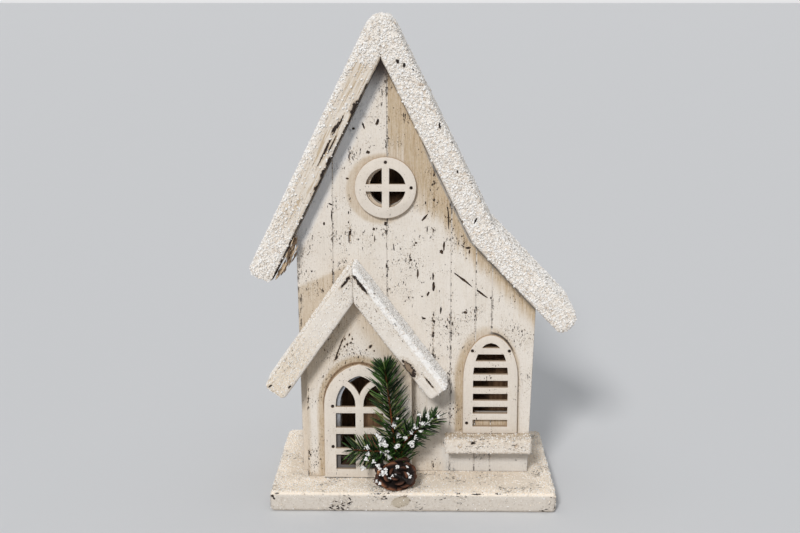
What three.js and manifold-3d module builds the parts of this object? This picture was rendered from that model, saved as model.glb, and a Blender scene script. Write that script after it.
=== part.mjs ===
// A wooden Christmas chapel: a crooked gabled house with a gabled porch, three fretted window
// plates and a snowy roof, on a board that also carries a pine sprig and its cone.
// Millimetres, in the house's own frame: X is right, Y is up and Z comes forward to the viewer.
// The last group turns it so that Z is up and the front faces -Y, with the origin at the centre
// of the base board's underside.

import * as THREE from 'three';
import { mergeVertices } from 'three/addons/utils/BufferGeometryUtils.js';
import Module from 'manifold-3d';

const wasm = await Module();
wasm.setup();

const degree = Math.PI / 180;
const goldenAngle = Math.PI * (3 - Math.sqrt(5));

// Glue lines and clearances
const glueLine = 0.25;
const clearTouch = 0.05;
const drillClearance = 0.25;

// Base board
const baseWidth = 208;
const baseDepth = 138;
const baseThickness = 14.4;
const baseCornerRound = 3;
const baseEdge = 1.6;

// House body, measured at its foot, with sides that lean outwards
const frontSetback = 44.5;
const houseDepth = 51;
const wallThickness = 8;
const wallEdge = 0.6;
const houseFootWidth = 169.2;
const houseShift = 1.5;
const leftLean = 0.95 * degree;
const rightLean = 1.75 * degree;

// Scored plank lines of the front wall, from the house's left foot
const plankWidths = [24.2, 39.5, 46.9, 18.3, 12];
const scoreWidth = 0.9;
const scoreDepth = 0.7;

// Main roof: one long left slope, one right slope that breaks to a flatter eave
const ridgeShift = -23.4;
const ridgeRise = 310.4;
const leftPitch = 63.8 * degree;
const rightPitch = 63.5 * degree;
const eavePitch = 46.3 * degree;
const kneeRun = 146.8;
const roofThickness = 18.5;
const roofEdge = 1.8;
const ridgeRound = 9.6;
const leftBoardLength = 180.3;
const leftEndRound = 5;
const eaveBoardLength = 94.6;
const eaveRound = 7.5;
const frontOverhang = 16;
const backOverhang = 5;

// Mounds of crusted snow on the main roof
const moundWidth = 13;
const moundHeight = 1.1;
const eaveMoundHeight = 0.45;
const moundSpacing = 15.5;
const moundMargin = 9;

// Porch: a thick gabled panel with its own two roof boards
const porchCentre = -39.9;
const porchWidth = 77.5;
const porchProud = 12;
const porchRidgeShift = -43;
const porchRidgeRise = 138;
const porchLeftPitch = 55 * degree;
const porchRightPitch = 52.75 * degree;
const porchRoofThickness = 17;
const porchRoofReach = 30;
const porchRidgeRound = 3;
const porchLeftLength = 88.6;
const porchRightLength = 91.4;
const porchEndRound = 3.2;

// Door plate with Gothic tracery, in a pointed arch
const doorCentre = -39.8;
const doorWidth = 52.4;
const doorSpring = 57;
const doorRise = 31.3;
const doorFrame = 8.7;
const doorThickness = 3.2;
const doorBottomRail = 7;
const paneHeight = 11.3;
const paneRows = 3;
const glazingBar = 4.85;
const mullionWidth = 5.9;
const lancetCurve = 17;
const traceryBar = 4.3;
const plateEdge = 0.55;

// Openings that light the plates from behind, each cut a little off centre
const doorWellWidth = 32;
const doorWellShift = 1.6;
const doorWellSill = 2.2;
const roundWellRadius = 13.6;
const roundWellShift = 1.8;
const louvreWellSill = 14;
const wellMargin = 0.5;

// Round window plate
const roundCentreX = -20.5;
const roundCentreRise = 217.3;
const roundRadius = 22.4;
const roundOpening = 14.6;
const crossBar = 5.2;
const windowThickness = 4;

// Louvred window plate
const louvreCentre = 57.2;
const louvreWidth = 40.7;
const louvreHeight = 76;
const louvreArchRise = 33.1;
const louvreFrame = 7.4;
const slotCount = 7;
const slotHeight = 5.4;
const slotPitch = 10.15;
const firstSlotRise = 5.3;

// Window sill below the louvred plate
const sillLeft = 23.5;
const sillRight = 87.3;
const sillHeight = 11;
const sillReach = 18;
const sillTopRise = 31.6;
const sillEdge = 1.4;

// Round hole for a light at the back
const lightHoleRadius = 17;
const lightHoleRise = 40;
const lightHoleShift = 0;

// Glue blocks in the corners, and the screws that hold them down
const blockSide = 13;
const blockHeight = 26;
const screwLength = 30;
const screwRadius = 1.7;
const screwHeadRadius = 3.6;
const screwHeadHeight = 2.4;
const screwRecess = 0.6;

// Brads through the plates, nails through the roof boards and the sill
const bradLength = 9;
const bradRadius = 0.6;
const nailLength = 30;
const nailRadius = 0.9;
const headWider = 0.5;
const headHeight = 0.7;

// Pine sprig and cone. A branch leans aside, rises and reaches forward from the foot of its stem.
const sprigShift = -12.8;
const stemRadius = 1.1;
const stemSpacing = 3.8;
const stemBack = 1.9;
const mainRise = 87.6;
const mainLean = -8;
const mainReach = 7;
const leftRise = 25;
const leftLeanOut = -28.8;
const leftReach = 9;
const rightRise = 48.8;
const rightLeanOut = 23.6;
const rightReach = 8;
const needleLength = 17.5;
const needleRadius = 0.5;
const needleTilt = 50 * degree;
const needleGap = 0.35;
const coneLength = 23;
const coneRadius = 16;
const coneFlattening = 0.7;
const coneRoom = 4.2;
const scaleCount = 42;
const scaleLength = 11;
const scaleWidth = 10;
const scaleThickness = 2.6;
const gluePadRadius = 8;
const gluePadHeight = 0.8;
const gluePadStretch = 1.3;

const paintedWood = new THREE.MeshStandardMaterial({ color: 0xe4dccf, roughness: 0.9, metalness: 0 });
const snowyWood = new THREE.MeshStandardMaterial({ color: 0xf1eeea, roughness: 0.95, metalness: 0 });
const bareWood = new THREE.MeshStandardMaterial({ color: 0x8a6a45, roughness: 0.85, metalness: 0 });
const steel = new THREE.MeshStandardMaterial({ color: 0x57504a, roughness: 0.45, metalness: 0.9 });
const pineGreen = new THREE.MeshStandardMaterial({ color: 0x27401f, roughness: 0.7, metalness: 0 });
const coneBrown = new THREE.MeshStandardMaterial({ color: 0x5b3522, roughness: 0.8, metalness: 0 });
const clearGlue = new THREE.MeshStandardMaterial({ color: 0xd8d2bd, roughness: 0.35, metalness: 0 });

// Planes that the depth of the house is built from
const frontFace = baseDepth / 2 - frontSetback;
const backFace = frontFace - houseDepth;
const roofFront = frontFace + frontOverhang;
const roofBack = backFace - backOverhang;
const panelFace = frontFace + porchProud;
const doorFace = panelFace + doorThickness;
const plateFace = frontFace + windowThickness;

// Closed meshes, cuts and joins

function solidFrom(geometry) {
  const bare = geometry.clone();
  bare.deleteAttribute('normal');
  bare.deleteAttribute('uv');
  const merged = mergeVertices(bare, 1e-4);
  return new wasm.Manifold(new wasm.Mesh({
    numProp: 3,
    vertProperties: new Float32Array(merged.attributes.position.array),
    triVerts: new Uint32Array(merged.index.array),
  }));
}

function geometryFrom(solid) {
  const mesh = solid.getMesh();
  const geometry = new THREE.BufferGeometry();
  geometry.setAttribute('position', new THREE.BufferAttribute(new Float32Array(mesh.vertProperties), 3));
  geometry.setIndex(new THREE.BufferAttribute(new Uint32Array(mesh.triVerts), 1));
  geometry.computeVertexNormals();
  return geometry;
}

function cut(geometry, tools) {
  let solid = solidFrom(geometry);
  for (const tool of tools) {
    solid = solid.subtract(solidFrom(tool));
  }
  return geometryFrom(solid);
}

// Adds solids two by two, so that each one is handled only a few times
function join(solids) {
  let row = solids;
  while (row.length > 1) {
    const joined = [];
    for (let i = 0; i < row.length; i += 2) {
      joined.push(i + 1 < row.length ? row[i].add(row[i + 1]) : row[i]);
    }
    row = joined;
  }
  return row[0];
}

// Straight lines in the front view. run points along the line and out points away from the house.

function straight(start, run, out) {
  return { start, run, out };
}

function roofLine(start, pitch, side) {
  const run = new THREE.Vector2(side * Math.cos(pitch), -Math.sin(pitch));
  const out = new THREE.Vector2(side * Math.sin(pitch), Math.cos(pitch));
  return straight(start, run, out);
}

function wallLine(x, lean, side) {
  const run = new THREE.Vector2(side * Math.sin(lean), Math.cos(lean));
  const out = new THREE.Vector2(side * Math.cos(lean), -Math.sin(lean));
  return straight(new THREE.Vector2(x, baseThickness), run, out);
}

function pointOn(line, distance, lift = 0) {
  return line.start.clone().addScaledVector(line.run, distance).addScaledVector(line.out, lift);
}

function crossing(sideA, sideB) {
  const a = pointOn(sideA.line, 0, sideA.lift);
  const b = pointOn(sideB.line, 0, sideB.lift);
  const distance = b.clone().sub(a).cross(sideB.line.run) / sideA.line.run.cross(sideB.line.run);
  return a.addScaledVector(sideA.line.run, distance);
}

function side(line, lift = 0) {
  return { line, lift };
}

// The corners where each side meets the next one
function corners(sides) {
  return sides.map((one, i) => crossing(one, sides[(i + 1) % sides.length]));
}

function arc(centre, radius, from, to, steps) {
  const points = [];
  for (let i = 0; i <= steps; i += 1) {
    const angle = from + (to - from) * i / steps;
    points.push(new THREE.Vector2(centre.x + radius * Math.cos(angle), centre.y + radius * Math.sin(angle)));
  }
  return points;
}

// Replaces a corner by an arc that touches both of its sides
function roundedCorner(before, corner, after, radius) {
  const toBefore = before.clone().sub(corner).normalize();
  const toAfter = after.clone().sub(corner).normalize();
  const half = Math.acos(toBefore.dot(toAfter)) / 2;
  const middle = toBefore.clone().add(toAfter).normalize();
  const centre = corner.clone().addScaledVector(middle, radius / Math.sin(half));
  const start = corner.clone().addScaledVector(toBefore, radius / Math.tan(half)).sub(centre);
  const end = corner.clone().addScaledVector(toAfter, radius / Math.tan(half)).sub(centre);
  const turn = Math.atan2(start.cross(end), start.dot(end));
  const from = Math.atan2(start.y, start.x);
  return arc(centre, radius, from, from + turn, 4);
}

function rounded(points, radii) {
  return points.flatMap((point, i) => {
    if (!radii[i]) {
      return [point];
    }
    const before = points[(i + points.length - 1) % points.length];
    const after = points[(i + 1) % points.length];
    return roundedCorner(before, point, after, radii[i]);
  });
}

// A board cut to an outline in the front view, with its front and back edges eased
function slab(outline, thickness, edge) {
  const geometry = new THREE.ExtrudeGeometry(new THREE.Shape(outline), {
    depth: thickness - 2 * edge,
    bevelEnabled: edge > 0,
    bevelThickness: edge,
    bevelSize: edge,
    bevelOffset: -edge,
    bevelSegments: 2,
  });
  geometry.translate(0, 0, edge);
  return geometry;
}

// A fretsaw cut right through a board, from its outline in the front view
function fret(outline, thickness) {
  const geometry = slab(outline, 3 * thickness, 0);
  geometry.translate(0, 0, -thickness);
  return geometry;
}

const chapel = new THREE.Group();
const house = new THREE.Group();
house.rotation.x = Math.PI / 2;
chapel.add(house);

function place(name, geometry, material, back = 0) {
  const mesh = new THREE.Mesh(geometry, material);
  mesh.name = name;
  mesh.position.z = back;
  house.add(mesh);
  return mesh;
}

// A round rod along Z, from one depth to another, used to drill
function rodAlongZ(x, y, radius, from, to, sides = 10) {
  const geometry = new THREE.CylinderGeometry(radius, radius, to - from, sides);
  geometry.rotateX(Math.PI / 2);
  geometry.translate(x, y, (from + to) / 2);
  return geometry;
}

// A nail whose head's top is at the origin and whose point lies along -Z
function nail(radius, length) {
  const head = radius + headWider;
  const profile = [
    new THREE.Vector2(0, -length),
    new THREE.Vector2(radius, radius * 2 - length),
    new THREE.Vector2(radius, -headHeight),
    new THREE.Vector2(head, -headHeight),
    new THREE.Vector2(head, 0),
    new THREE.Vector2(0, 0),
  ];
  const geometry = new THREE.LatheGeometry(profile, 8);
  geometry.rotateX(Math.PI / 2);
  return geometry;
}

// The room that a nail needs, open to the side that it was driven from
function nailRoom(radius, length) {
  const room = radius + headWider + drillClearance;
  const shaft = radius + drillClearance;
  const profile = [
    new THREE.Vector2(0, -length - drillClearance),
    new THREE.Vector2(shaft, radius * 2 - length - drillClearance),
    new THREE.Vector2(shaft, -headHeight - drillClearance),
    new THREE.Vector2(room, -headHeight - drillClearance),
    new THREE.Vector2(room, 2 * headHeight),
    new THREE.Vector2(0, 2 * headHeight),
  ];
  const geometry = new THREE.LatheGeometry(profile, 8);
  geometry.rotateX(Math.PI / 2);
  return geometry;
}

// Lines of the house in the front view

const floorLine = straight(new THREE.Vector2(0, baseThickness), new THREE.Vector2(1, 0), new THREE.Vector2(0, 1));
const leftWallLine = wallLine(houseShift - houseFootWidth / 2, leftLean, -1);
const rightWallLine = wallLine(houseShift + houseFootWidth / 2, rightLean, 1);
const ridge = new THREE.Vector2(ridgeShift, baseThickness + ridgeRise);
const leftSlope = roofLine(ridge, leftPitch, -1);
const rightSlope = roofLine(ridge, rightPitch, 1);
const knee = pointOn(rightSlope, kneeRun);
const eaveSlope = roofLine(knee, eavePitch, 1);
const porchRidge = new THREE.Vector2(porchRidgeShift, baseThickness + porchRidgeRise);
const porchLeftSlope = roofLine(porchRidge, porchLeftPitch, -1);
const porchRightSlope = roofLine(porchRidge, porchRightPitch, 1);

// The cut between two boards that meet in a mitre, with its out side to the right
function mitre(lineA, lineB, thickness) {
  const inner = crossing(side(lineA), side(lineB));
  const outer = crossing(side(lineA, thickness), side(lineB, thickness));
  const run = outer.clone().sub(inner).normalize();
  return straight(inner, run, new THREE.Vector2(run.y, -run.x));
}

// Everything to one side of a line, to saw a board off with
function sawnOff(line, lift, hand) {
  const reach = 4 * baseWidth;
  const block = new THREE.BoxGeometry(reach, reach, reach);
  block.translate(0, hand * reach / 2, 0);
  block.rotateZ(Math.atan2(line.out.y, line.out.x) - Math.PI / 2);
  const at = pointOn(line, 0, lift);
  block.translate(at.x, at.y, 0);
  return block;
}

// A square cut across a board at a distance along it
function squareCut(line, distance) {
  return straight(pointOn(line, distance), line.out, line.run);
}

// Base board

function makeBase() {
  const w = baseWidth / 2;
  const d = baseDepth / 2;
  const plan = [[-w, -d], [w, -d], [w, d], [-w, d]].map(([x, z]) => new THREE.Vector2(x, z));
  const radii = plan.map(() => baseCornerRound);
  const geometry = slab(rounded(plan, radii), baseThickness, baseEdge);
  geometry.rotateX(-Math.PI / 2);
  place('base_board', cut(geometry, screwPlaces.map((at) => screwRoom(at))), snowyWood);
}

// Walls

const frontOutline = corners([
  side(leftWallLine),
  side(floorLine, glueLine),
  side(rightWallLine),
  side(eaveSlope, -glueLine),
  side(rightSlope, -glueLine),
  side(leftSlope, -glueLine),
]);

function scoreLines() {
  let x = houseShift - houseFootWidth / 2;
  const tall = 2 * (baseThickness + ridgeRise);
  return plankWidths.map((width) => {
    x += width;
    const groove = new THREE.BoxGeometry(scoreWidth, tall, 2 * scoreDepth);
    groove.translate(x, 0, wallThickness);
    return groove;
  });
}

function makeFrontWall() {
  const tools = [...scoreLines()];
  tools.push(...[doorWell(), roundWell(), louvreWell()].map((well) => fret(well, wallThickness)));
  tools.push(...roomsInSlab(frontFace - wallThickness));
  place('front_wall', cut(slab(frontOutline, wallThickness, wallEdge), tools), paintedWood, frontFace - wallThickness);
}

function makeBackWall() {
  const height = baseThickness + lightHoleRise;
  const lightHole = rodAlongZ(lightHoleShift, height, lightHoleRadius, -wallThickness, 2 * wallThickness, 24);
  const tools = [lightHole, ...roomsInSlab(backFace)];
  place('back_wall', cut(slab(frontOutline, wallThickness, wallEdge), tools), paintedWood, backFace);
}

function makeSideWall(name, line, slope) {
  const outline = corners([
    side(line, -wallThickness),
    side(floorLine, glueLine),
    side(line),
    side(slope, -glueLine),
  ]);
  const depth = houseDepth - 2 * wallThickness - 2 * glueLine;
  const points = line === leftWallLine ? outline : outline.reverse();
  place(name, slab(points, depth, 0), paintedWood, backFace + wallThickness + glueLine);
}

// Glue blocks and screws: two at the front wall and two at the back wall

const blockBacks = [
  ['front', frontFace - wallThickness - glueLine - blockSide],
  ['back', backFace + wallThickness + glueLine],
];
const blockLines = [['left', leftWallLine], ['right', rightWallLine]];

function blockPlace(line, back) {
  const middle = pointOn(line, 0, -wallThickness - glueLine - blockSide / 2);
  return new THREE.Vector3(middle.x, 0, back + blockSide / 2);
}

const screwPlaces = blockBacks.flatMap(([, back]) => blockLines.map(([, line]) => blockPlace(line, back)));

function screwProfile(gap) {
  const tip = screwRecess + screwLength + gap;
  const start = gap > 0 ? -1 : screwRecess;
  return [
    new THREE.Vector2(0, start),
    new THREE.Vector2(screwHeadRadius + gap, start),
    new THREE.Vector2(screwHeadRadius + gap, screwRecess),
    new THREE.Vector2(screwRadius + gap, screwRecess + screwHeadHeight + gap),
    new THREE.Vector2(screwRadius + gap, tip - 2 * screwRadius),
    new THREE.Vector2(0, tip),
  ].filter((point, i, all) => i === 0 || point.distanceTo(all[i - 1]) > 0);
}

function screwRoom(at) {
  const room = new THREE.LatheGeometry(screwProfile(drillClearance), 12);
  room.translate(at.x, 0, at.z);
  return room;
}

function makeBlocksAndScrews() {
  for (const [depthName, back] of blockBacks) {
    for (const [sideName, line] of blockLines) {
      const inner = -wallThickness - glueLine;
      const top = squareCut(line, blockHeight);
      const outline = corners([
        side(line, inner - blockSide),
        side(floorLine, glueLine),
        side(line, inner),
        side(top),
      ]);
      const points = sideName === 'left' ? outline : outline.reverse();
      const block = slab(points, blockSide, 0);
      block.translate(0, 0, back);
      const at = blockPlace(line, back);
      place(`glue_block_${depthName}_${sideName}`, cut(block, [screwRoom(at)]), bareWood);
      const screw = place(`base_screw_${depthName}_${sideName}`, new THREE.LatheGeometry(screwProfile(0), 12), steel);
      screw.position.copy(at);
    }
  }
}

// Openings in the walls behind the window plates

function archPoints(halfWidth, rise, spring, steps) {
  const reach = (rise * rise - halfWidth * halfWidth) / (2 * halfWidth);
  const radius = halfWidth + reach;
  const top = Math.atan2(rise, reach);
  const right = arc(new THREE.Vector2(-reach, spring), radius, 0, top, steps);
  const left = arc(new THREE.Vector2(reach, spring), radius, Math.PI - top, Math.PI, steps);
  return [...right, ...left.slice(1)];
}

function shifted(points, x, y) {
  return points.map((point) => new THREE.Vector2(point.x + x, point.y + y));
}

function doorWell() {
  const half = doorWellWidth / 2;
  const shrink = doorWidth / 2 - doorFrame - half;
  const arch = archPoints(half, doorRise - doorFrame - shrink, doorSpring, 6);
  const foot = doorBottomRail + doorWellSill;
  const outline = [...arch, new THREE.Vector2(-half, foot), new THREE.Vector2(half, foot)];
  return shifted(outline, doorCentre + doorWellShift, baseThickness + glueLine);
}

function roundWell() {
  const centre = new THREE.Vector2(roundCentreX + roundWellShift, baseThickness + roundCentreRise);
  return arc(centre, roundWellRadius, 0, 2 * Math.PI * (1 - 1 / 24), 23);
}

// The height at which an elliptical arch stands at a distance from its middle, and the reverse
function archHalfWidth(height, halfWidth, spring, rise) {
  const up = Math.max(0, height - spring) / rise;
  return halfWidth * Math.sqrt(Math.max(0, 1 - up * up));
}

const louvreBottom = sillTopRise + glueLine;
const louvreSpring = louvreHeight - louvreArchRise;

function louvreWell() {
  const half = louvreWidth / 2 - louvreFrame + wellMargin;
  const rise = louvreArchRise - louvreFrame + wellMargin;
  const points = [];
  for (let i = 0; i <= 12; i += 1) {
    const angle = Math.PI * i / 12;
    points.push(new THREE.Vector2(half * Math.cos(angle), louvreSpring + rise * Math.sin(angle)));
  }
  points.push(new THREE.Vector2(-half, louvreWellSill), new THREE.Vector2(half, louvreWellSill));
  return shifted(points, louvreCentre, baseThickness + louvreBottom);
}

// Door plate: three rows of panes, two lancets and a kite under a pointed arch

function makeDoorPlate() {
  const half = doorWidth / 2;
  const outline = [...archPoints(half, doorRise, doorSpring, 8), new THREE.Vector2(-half, 0), new THREE.Vector2(half, 0)];
  const innerHalf = half - doorFrame;
  const reach = (doorRise * doorRise - half * half) / (2 * half);
  const innerRadius = innerHalf + reach;
  const mullion = mullionWidth / 2;
  const holes = [];
  for (let row = 0; row < paneRows; row += 1) {
    const bottom = doorBottomRail + row * (paneHeight + glazingBar);
    for (const hand of [-1, 1]) {
      holes.push([
        new THREE.Vector2(hand * mullion, bottom),
        new THREE.Vector2(hand * innerHalf, bottom),
        new THREE.Vector2(hand * innerHalf, bottom + paneHeight),
        new THREE.Vector2(hand * mullion, bottom + paneHeight),
      ]);
    }
  }

  // A lancet lies between the arch and a smaller arc that springs from the mullion
  const lancetFoot = doorBottomRail + paneRows * (paneHeight + glazingBar);
  const lancetCentre = mullion + lancetCurve;
  const apart = reach + lancetCentre;
  const toApex = (apart ** 2 + lancetCurve ** 2 - innerRadius ** 2) / (2 * apart);
  const apexRise = Math.sqrt(lancetCurve ** 2 - toApex ** 2);
  const innerSide = arc(new THREE.Vector2(-lancetCentre, doorSpring), lancetCurve, 0, Math.atan2(apexRise, toApex), 5);
  const archTurn = Math.atan2(apexRise, apart - toApex);
  const outerSide = arc(new THREE.Vector2(reach, doorSpring), innerRadius, Math.PI - archTurn, Math.PI, 4);
  const lancet = [
    new THREE.Vector2(-mullion, lancetFoot),
    ...innerSide,
    ...outerSide.slice(1),
    new THREE.Vector2(-innerHalf, lancetFoot),
  ];
  holes.push(lancet, lancet.map((point) => new THREE.Vector2(-point.x, point.y)));

  // The kite lies between the arch above and two arcs around the lancets that cross at its tip
  const kiteCurve = lancetCurve + traceryBar;
  const toCorner = (apart ** 2 + kiteCurve ** 2 - innerRadius ** 2) / (2 * apart);
  const cornerRise = Math.sqrt(kiteCurve ** 2 - toCorner ** 2);
  const tipTurn = Math.acos(lancetCentre / kiteCurve);
  const lower = arc(new THREE.Vector2(-lancetCentre, doorSpring), kiteCurve, tipTurn, Math.atan2(cornerRise, toCorner), 4);
  const cornerTurn = Math.atan2(cornerRise, apart - toCorner);
  const apexTurn = Math.acos(reach / innerRadius);
  const upper = arc(new THREE.Vector2(reach, doorSpring), innerRadius, Math.PI - cornerTurn, Math.PI - apexTurn, 3);
  const leftHalf = [...lower, ...upper.slice(1)];
  const rightHalf = leftHalf.slice(1, -1).reverse().map((point) => new THREE.Vector2(-point.x, point.y));
  holes.push([...leftHalf, ...rightHalf]);

  const rise = baseThickness + glueLine;
  const plate = cut(slab(outline, doorThickness - glueLine, plateEdge), holes.map((hole) => fret(hole, doorThickness)));
  plate.translate(doorCentre, rise, panelFace + glueLine);
  place('door_tracery', cut(plate, roomsOf(doorBrads)), paintedWood);
}

// Round window plate with a cross

function makeRoundWindow() {
  const rim = arc(new THREE.Vector2(0, 0), roundRadius, 0, 2 * Math.PI * (1 - 1 / 32), 31);
  const bar = crossBar / 2;
  const reach = Math.asin(bar / roundOpening);
  const holes = [0, 1, 2, 3].map((quarter) => {
    const turn = quarter * Math.PI / 2;
    const curve = arc(new THREE.Vector2(0, 0), roundOpening, turn + reach, turn + Math.PI / 2 - reach, 6);
    const corner = new THREE.Vector2(bar, bar).rotateAround(new THREE.Vector2(0, 0), turn);
    return [corner, ...curve];
  });
  const plate = cut(slab(rim, windowThickness - glueLine, plateEdge), holes.map((hole) => fret(hole, windowThickness)));
  plate.translate(roundCentreX, baseThickness + roundCentreRise, frontFace + glueLine);
  place('round_window', cut(plate, roomsOf(roundBrads)), paintedWood);
}

// Louvred window plate: equal slots, the upper ones clipped by the arch

function makeLouvre() {
  const half = louvreWidth / 2;
  const outline = [new THREE.Vector2(-half, 0), new THREE.Vector2(half, 0)];
  for (let i = 0; i <= 20; i += 1) {
    const angle = Math.PI * i / 20;
    outline.push(new THREE.Vector2(half * Math.cos(angle), louvreSpring + louvreArchRise * Math.sin(angle)));
  }
  const innerHalf = half - louvreFrame;
  const innerRise = louvreArchRise - louvreFrame + 1.5;
  const holes = [];
  for (let slot = 0; slot < slotCount; slot += 1) {
    const low = firstSlotRise + slot * slotPitch;
    const top = Math.min(low + slotHeight, louvreSpring + innerRise);
    const right = [];
    for (let i = 0; i <= 4; i += 1) {
      const height = low + (top - low) * i / 4;
      right.push(new THREE.Vector2(archHalfWidth(height, innerHalf, louvreSpring, innerRise), height));
    }
    const straightSide = low + slotHeight <= louvreSpring;
    const edge = straightSide ? [right[0], right[4]] : right;
    const left = edge.filter((point) => point.x > 0).map((point) => new THREE.Vector2(-point.x, point.y));
    holes.push([...edge, ...left.reverse()]);
  }
  const plate = cut(slab(outline, windowThickness - glueLine, plateEdge), holes.map((hole) => fret(hole, windowThickness)));
  plate.translate(louvreCentre, baseThickness + louvreBottom, frontFace + glueLine);
  place('louvre_window', cut(plate, roomsOf(louvreBrads)), paintedWood);
}

// Window sill

function makeSill() {
  const top = baseThickness + sillTopRise;
  const outline = [
    new THREE.Vector2(sillLeft, top - sillHeight),
    new THREE.Vector2(sillRight, top - sillHeight),
    new THREE.Vector2(sillRight, top),
    new THREE.Vector2(sillLeft, top),
  ];
  const sill = slab(outline, sillReach - glueLine, sillEdge);
  sill.translate(0, 0, frontFace + glueLine);
  place('window_sill', cut(sill, roomsOf(sillNails)), snowyWood);
}

// Roof boards, sawn from one outline along the mitres

const seam = glueLine / 2;

function along(line, point) {
  return point.clone().sub(line.start).dot(line.run);
}

// Low mounds of crusted snow on a board's outer face, in staggered rows that keep clear of its nails
function snowMounds(line, from, to, height, nails) {
  const clear = moundWidth / 2 + nailRadius + headWider + 1;
  const turn = Math.atan2(line.out.y, line.out.x) - Math.PI / 2;
  const mounds = [];
  let row = 0;
  for (let z = roofBack + moundMargin; z < roofFront - moundMargin + 1; z += moundSpacing) {
    row += 1;
    const stagger = row % 2 ? 0 : moundSpacing / 2;
    for (let distance = from + moundMargin + stagger; distance < to - moundMargin; distance += moundSpacing) {
      const index = mounds.length;
      const width = moundWidth * (0.9 + 0.1 * Math.sin(5 * index));
      const mound = new THREE.ConeGeometry(width / 2, 2 * height, 6);
      mound.rotateY(index * goldenAngle);
      mound.rotateZ(turn);
      const centre = pointOn(line, distance + 1.5 * Math.sin(3 * index), roofThickness);
      const nearNail = nails.some((one) => (
        new THREE.Vector3().setFromMatrixPosition(one.matrix).distanceTo(new THREE.Vector3(centre.x, centre.y, z)) < clear
      ));
      if (!nearNail) {
        mounds.push(mound.translate(centre.x, centre.y, z));
      }
    }
  }
  return mounds;
}

function makeMainRoof() {
  const outline = rounded(corners([
    side(squareCut(leftSlope, leftBoardLength)),
    side(leftSlope),
    side(rightSlope),
    side(eaveSlope),
    side(squareCut(eaveSlope, eaveBoardLength)),
    side(eaveSlope, roofThickness),
    side(rightSlope, roofThickness),
    side(leftSlope, roofThickness),
  ]), [leftEndRound, 0, 0, eaveRound, eaveRound, 0, ridgeRound, leftEndRound]);
  const roof = slab(outline, roofFront - roofBack, roofEdge);
  roof.translate(0, 0, roofBack);
  const top = mitre(leftSlope, rightSlope, roofThickness);
  const bend = mitre(rightSlope, eaveSlope, roofThickness);
  const peak = crossing(side(leftSlope, roofThickness), side(rightSlope, roofThickness));
  const dip = crossing(side(rightSlope, roofThickness), side(eaveSlope, roofThickness));
  const boards = [
    {
      name: 'main_roof_left_board',
      line: leftSlope,
      snow: [along(leftSlope, peak) + 2 * ridgeRound, leftBoardLength, moundHeight],
      saws: [sawnOff(top, -seam, 1)],
    },
    {
      name: 'main_roof_right_board',
      line: rightSlope,
      snow: [along(rightSlope, peak) + 2 * ridgeRound, along(rightSlope, dip), moundHeight],
      saws: [sawnOff(top, seam, -1), sawnOff(bend, -seam, 1)],
    },
    {
      name: 'main_roof_eave_board',
      line: eaveSlope,
      snow: [along(eaveSlope, dip), eaveBoardLength, eaveMoundHeight],
      saws: [sawnOff(bend, seam, -1)],
    },
  ];
  for (const { name, line, snow, saws } of boards) {
    const nails = roofNails.filter((one) => one.line === line);
    const board = cut(roof, [...saws, ...roomsOf(nails)]);
    const mounds = snowMounds(line, ...snow, nails);
    place(name, geometryFrom(join([board, ...mounds].map(solidFrom))), snowyWood);
  }
}

// Porch

const porchLeftEdge = wallLine(porchCentre - porchWidth / 2, 0, -1);
const porchRightEdge = wallLine(porchCentre + porchWidth / 2, 0, 1);

function makePorchFront() {
  const outline = corners([
    side(porchLeftEdge),
    side(floorLine, glueLine),
    side(porchRightEdge),
    side(porchRightSlope, -glueLine),
    side(porchLeftSlope, -glueLine),
  ]);
  const well = fret(doorWell(), porchProud);
  well.translate(0, 0, frontFace);
  const panel = slab(outline, porchProud - glueLine, wallEdge);
  panel.translate(0, 0, frontFace + glueLine);
  place('porch_front', cut(panel, [well, ...roomsOf([...doorBrads, ...porchNails])]), paintedWood);
}

function makePorchRoof() {
  const outline = rounded(corners([
    side(squareCut(porchLeftSlope, porchLeftLength)),
    side(porchLeftSlope),
    side(porchRightSlope),
    side(squareCut(porchRightSlope, porchRightLength)),
    side(porchRightSlope, porchRoofThickness),
    side(porchLeftSlope, porchRoofThickness),
  ]), [porchEndRound, 0, porchEndRound, porchEndRound, porchRidgeRound, porchEndRound]);
  const roof = slab(outline, porchRoofReach - glueLine, roofEdge);
  roof.translate(0, 0, frontFace + glueLine);
  const top = mitre(porchLeftSlope, porchRightSlope, porchRoofThickness);
  const boards = [
    ['porch_roof_left_board', porchLeftSlope, sawnOff(top, -seam, 1)],
    ['porch_roof_right_board', porchRightSlope, sawnOff(top, seam, -1)],
  ];
  for (const [name, line, saw] of boards) {
    const rooms = roomsOf(porchNails.filter((one) => one.line === line));
    place(name, cut(roof, [saw, ...rooms]), snowyWood);
  }
}

// Brads and nails. Each has its place, its direction and the room that it is cut out with.

function driven(name, head, radius, length, turnAxis = null, turn = 0, line = null) {
  const matrix = new THREE.Matrix4();
  if (turnAxis) {
    matrix.makeRotationAxis(turnAxis, turn);
  }
  matrix.setPosition(head);
  return { name, radius, length, matrix, line };
}

function flatBrad(name, x, y, z) {
  return driven(name, new THREE.Vector3(x, y, z), bradRadius, bradLength);
}

// A nail square to a roof board, from its outer face, at a distance along it and a depth
function slopeNail(name, line, thickness, distance, z) {
  const head = pointOn(line, distance, thickness - headHeight);
  const direction = new THREE.Vector3(line.out.x, line.out.y, 0);
  const turn = new THREE.Quaternion().setFromUnitVectors(new THREE.Vector3(0, 0, 1), direction);
  const matrix = new THREE.Matrix4().makeRotationFromQuaternion(turn);
  matrix.setPosition(head.x, head.y, z);
  return { name, radius: nailRadius, length: nailLength, matrix, line };
}

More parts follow.
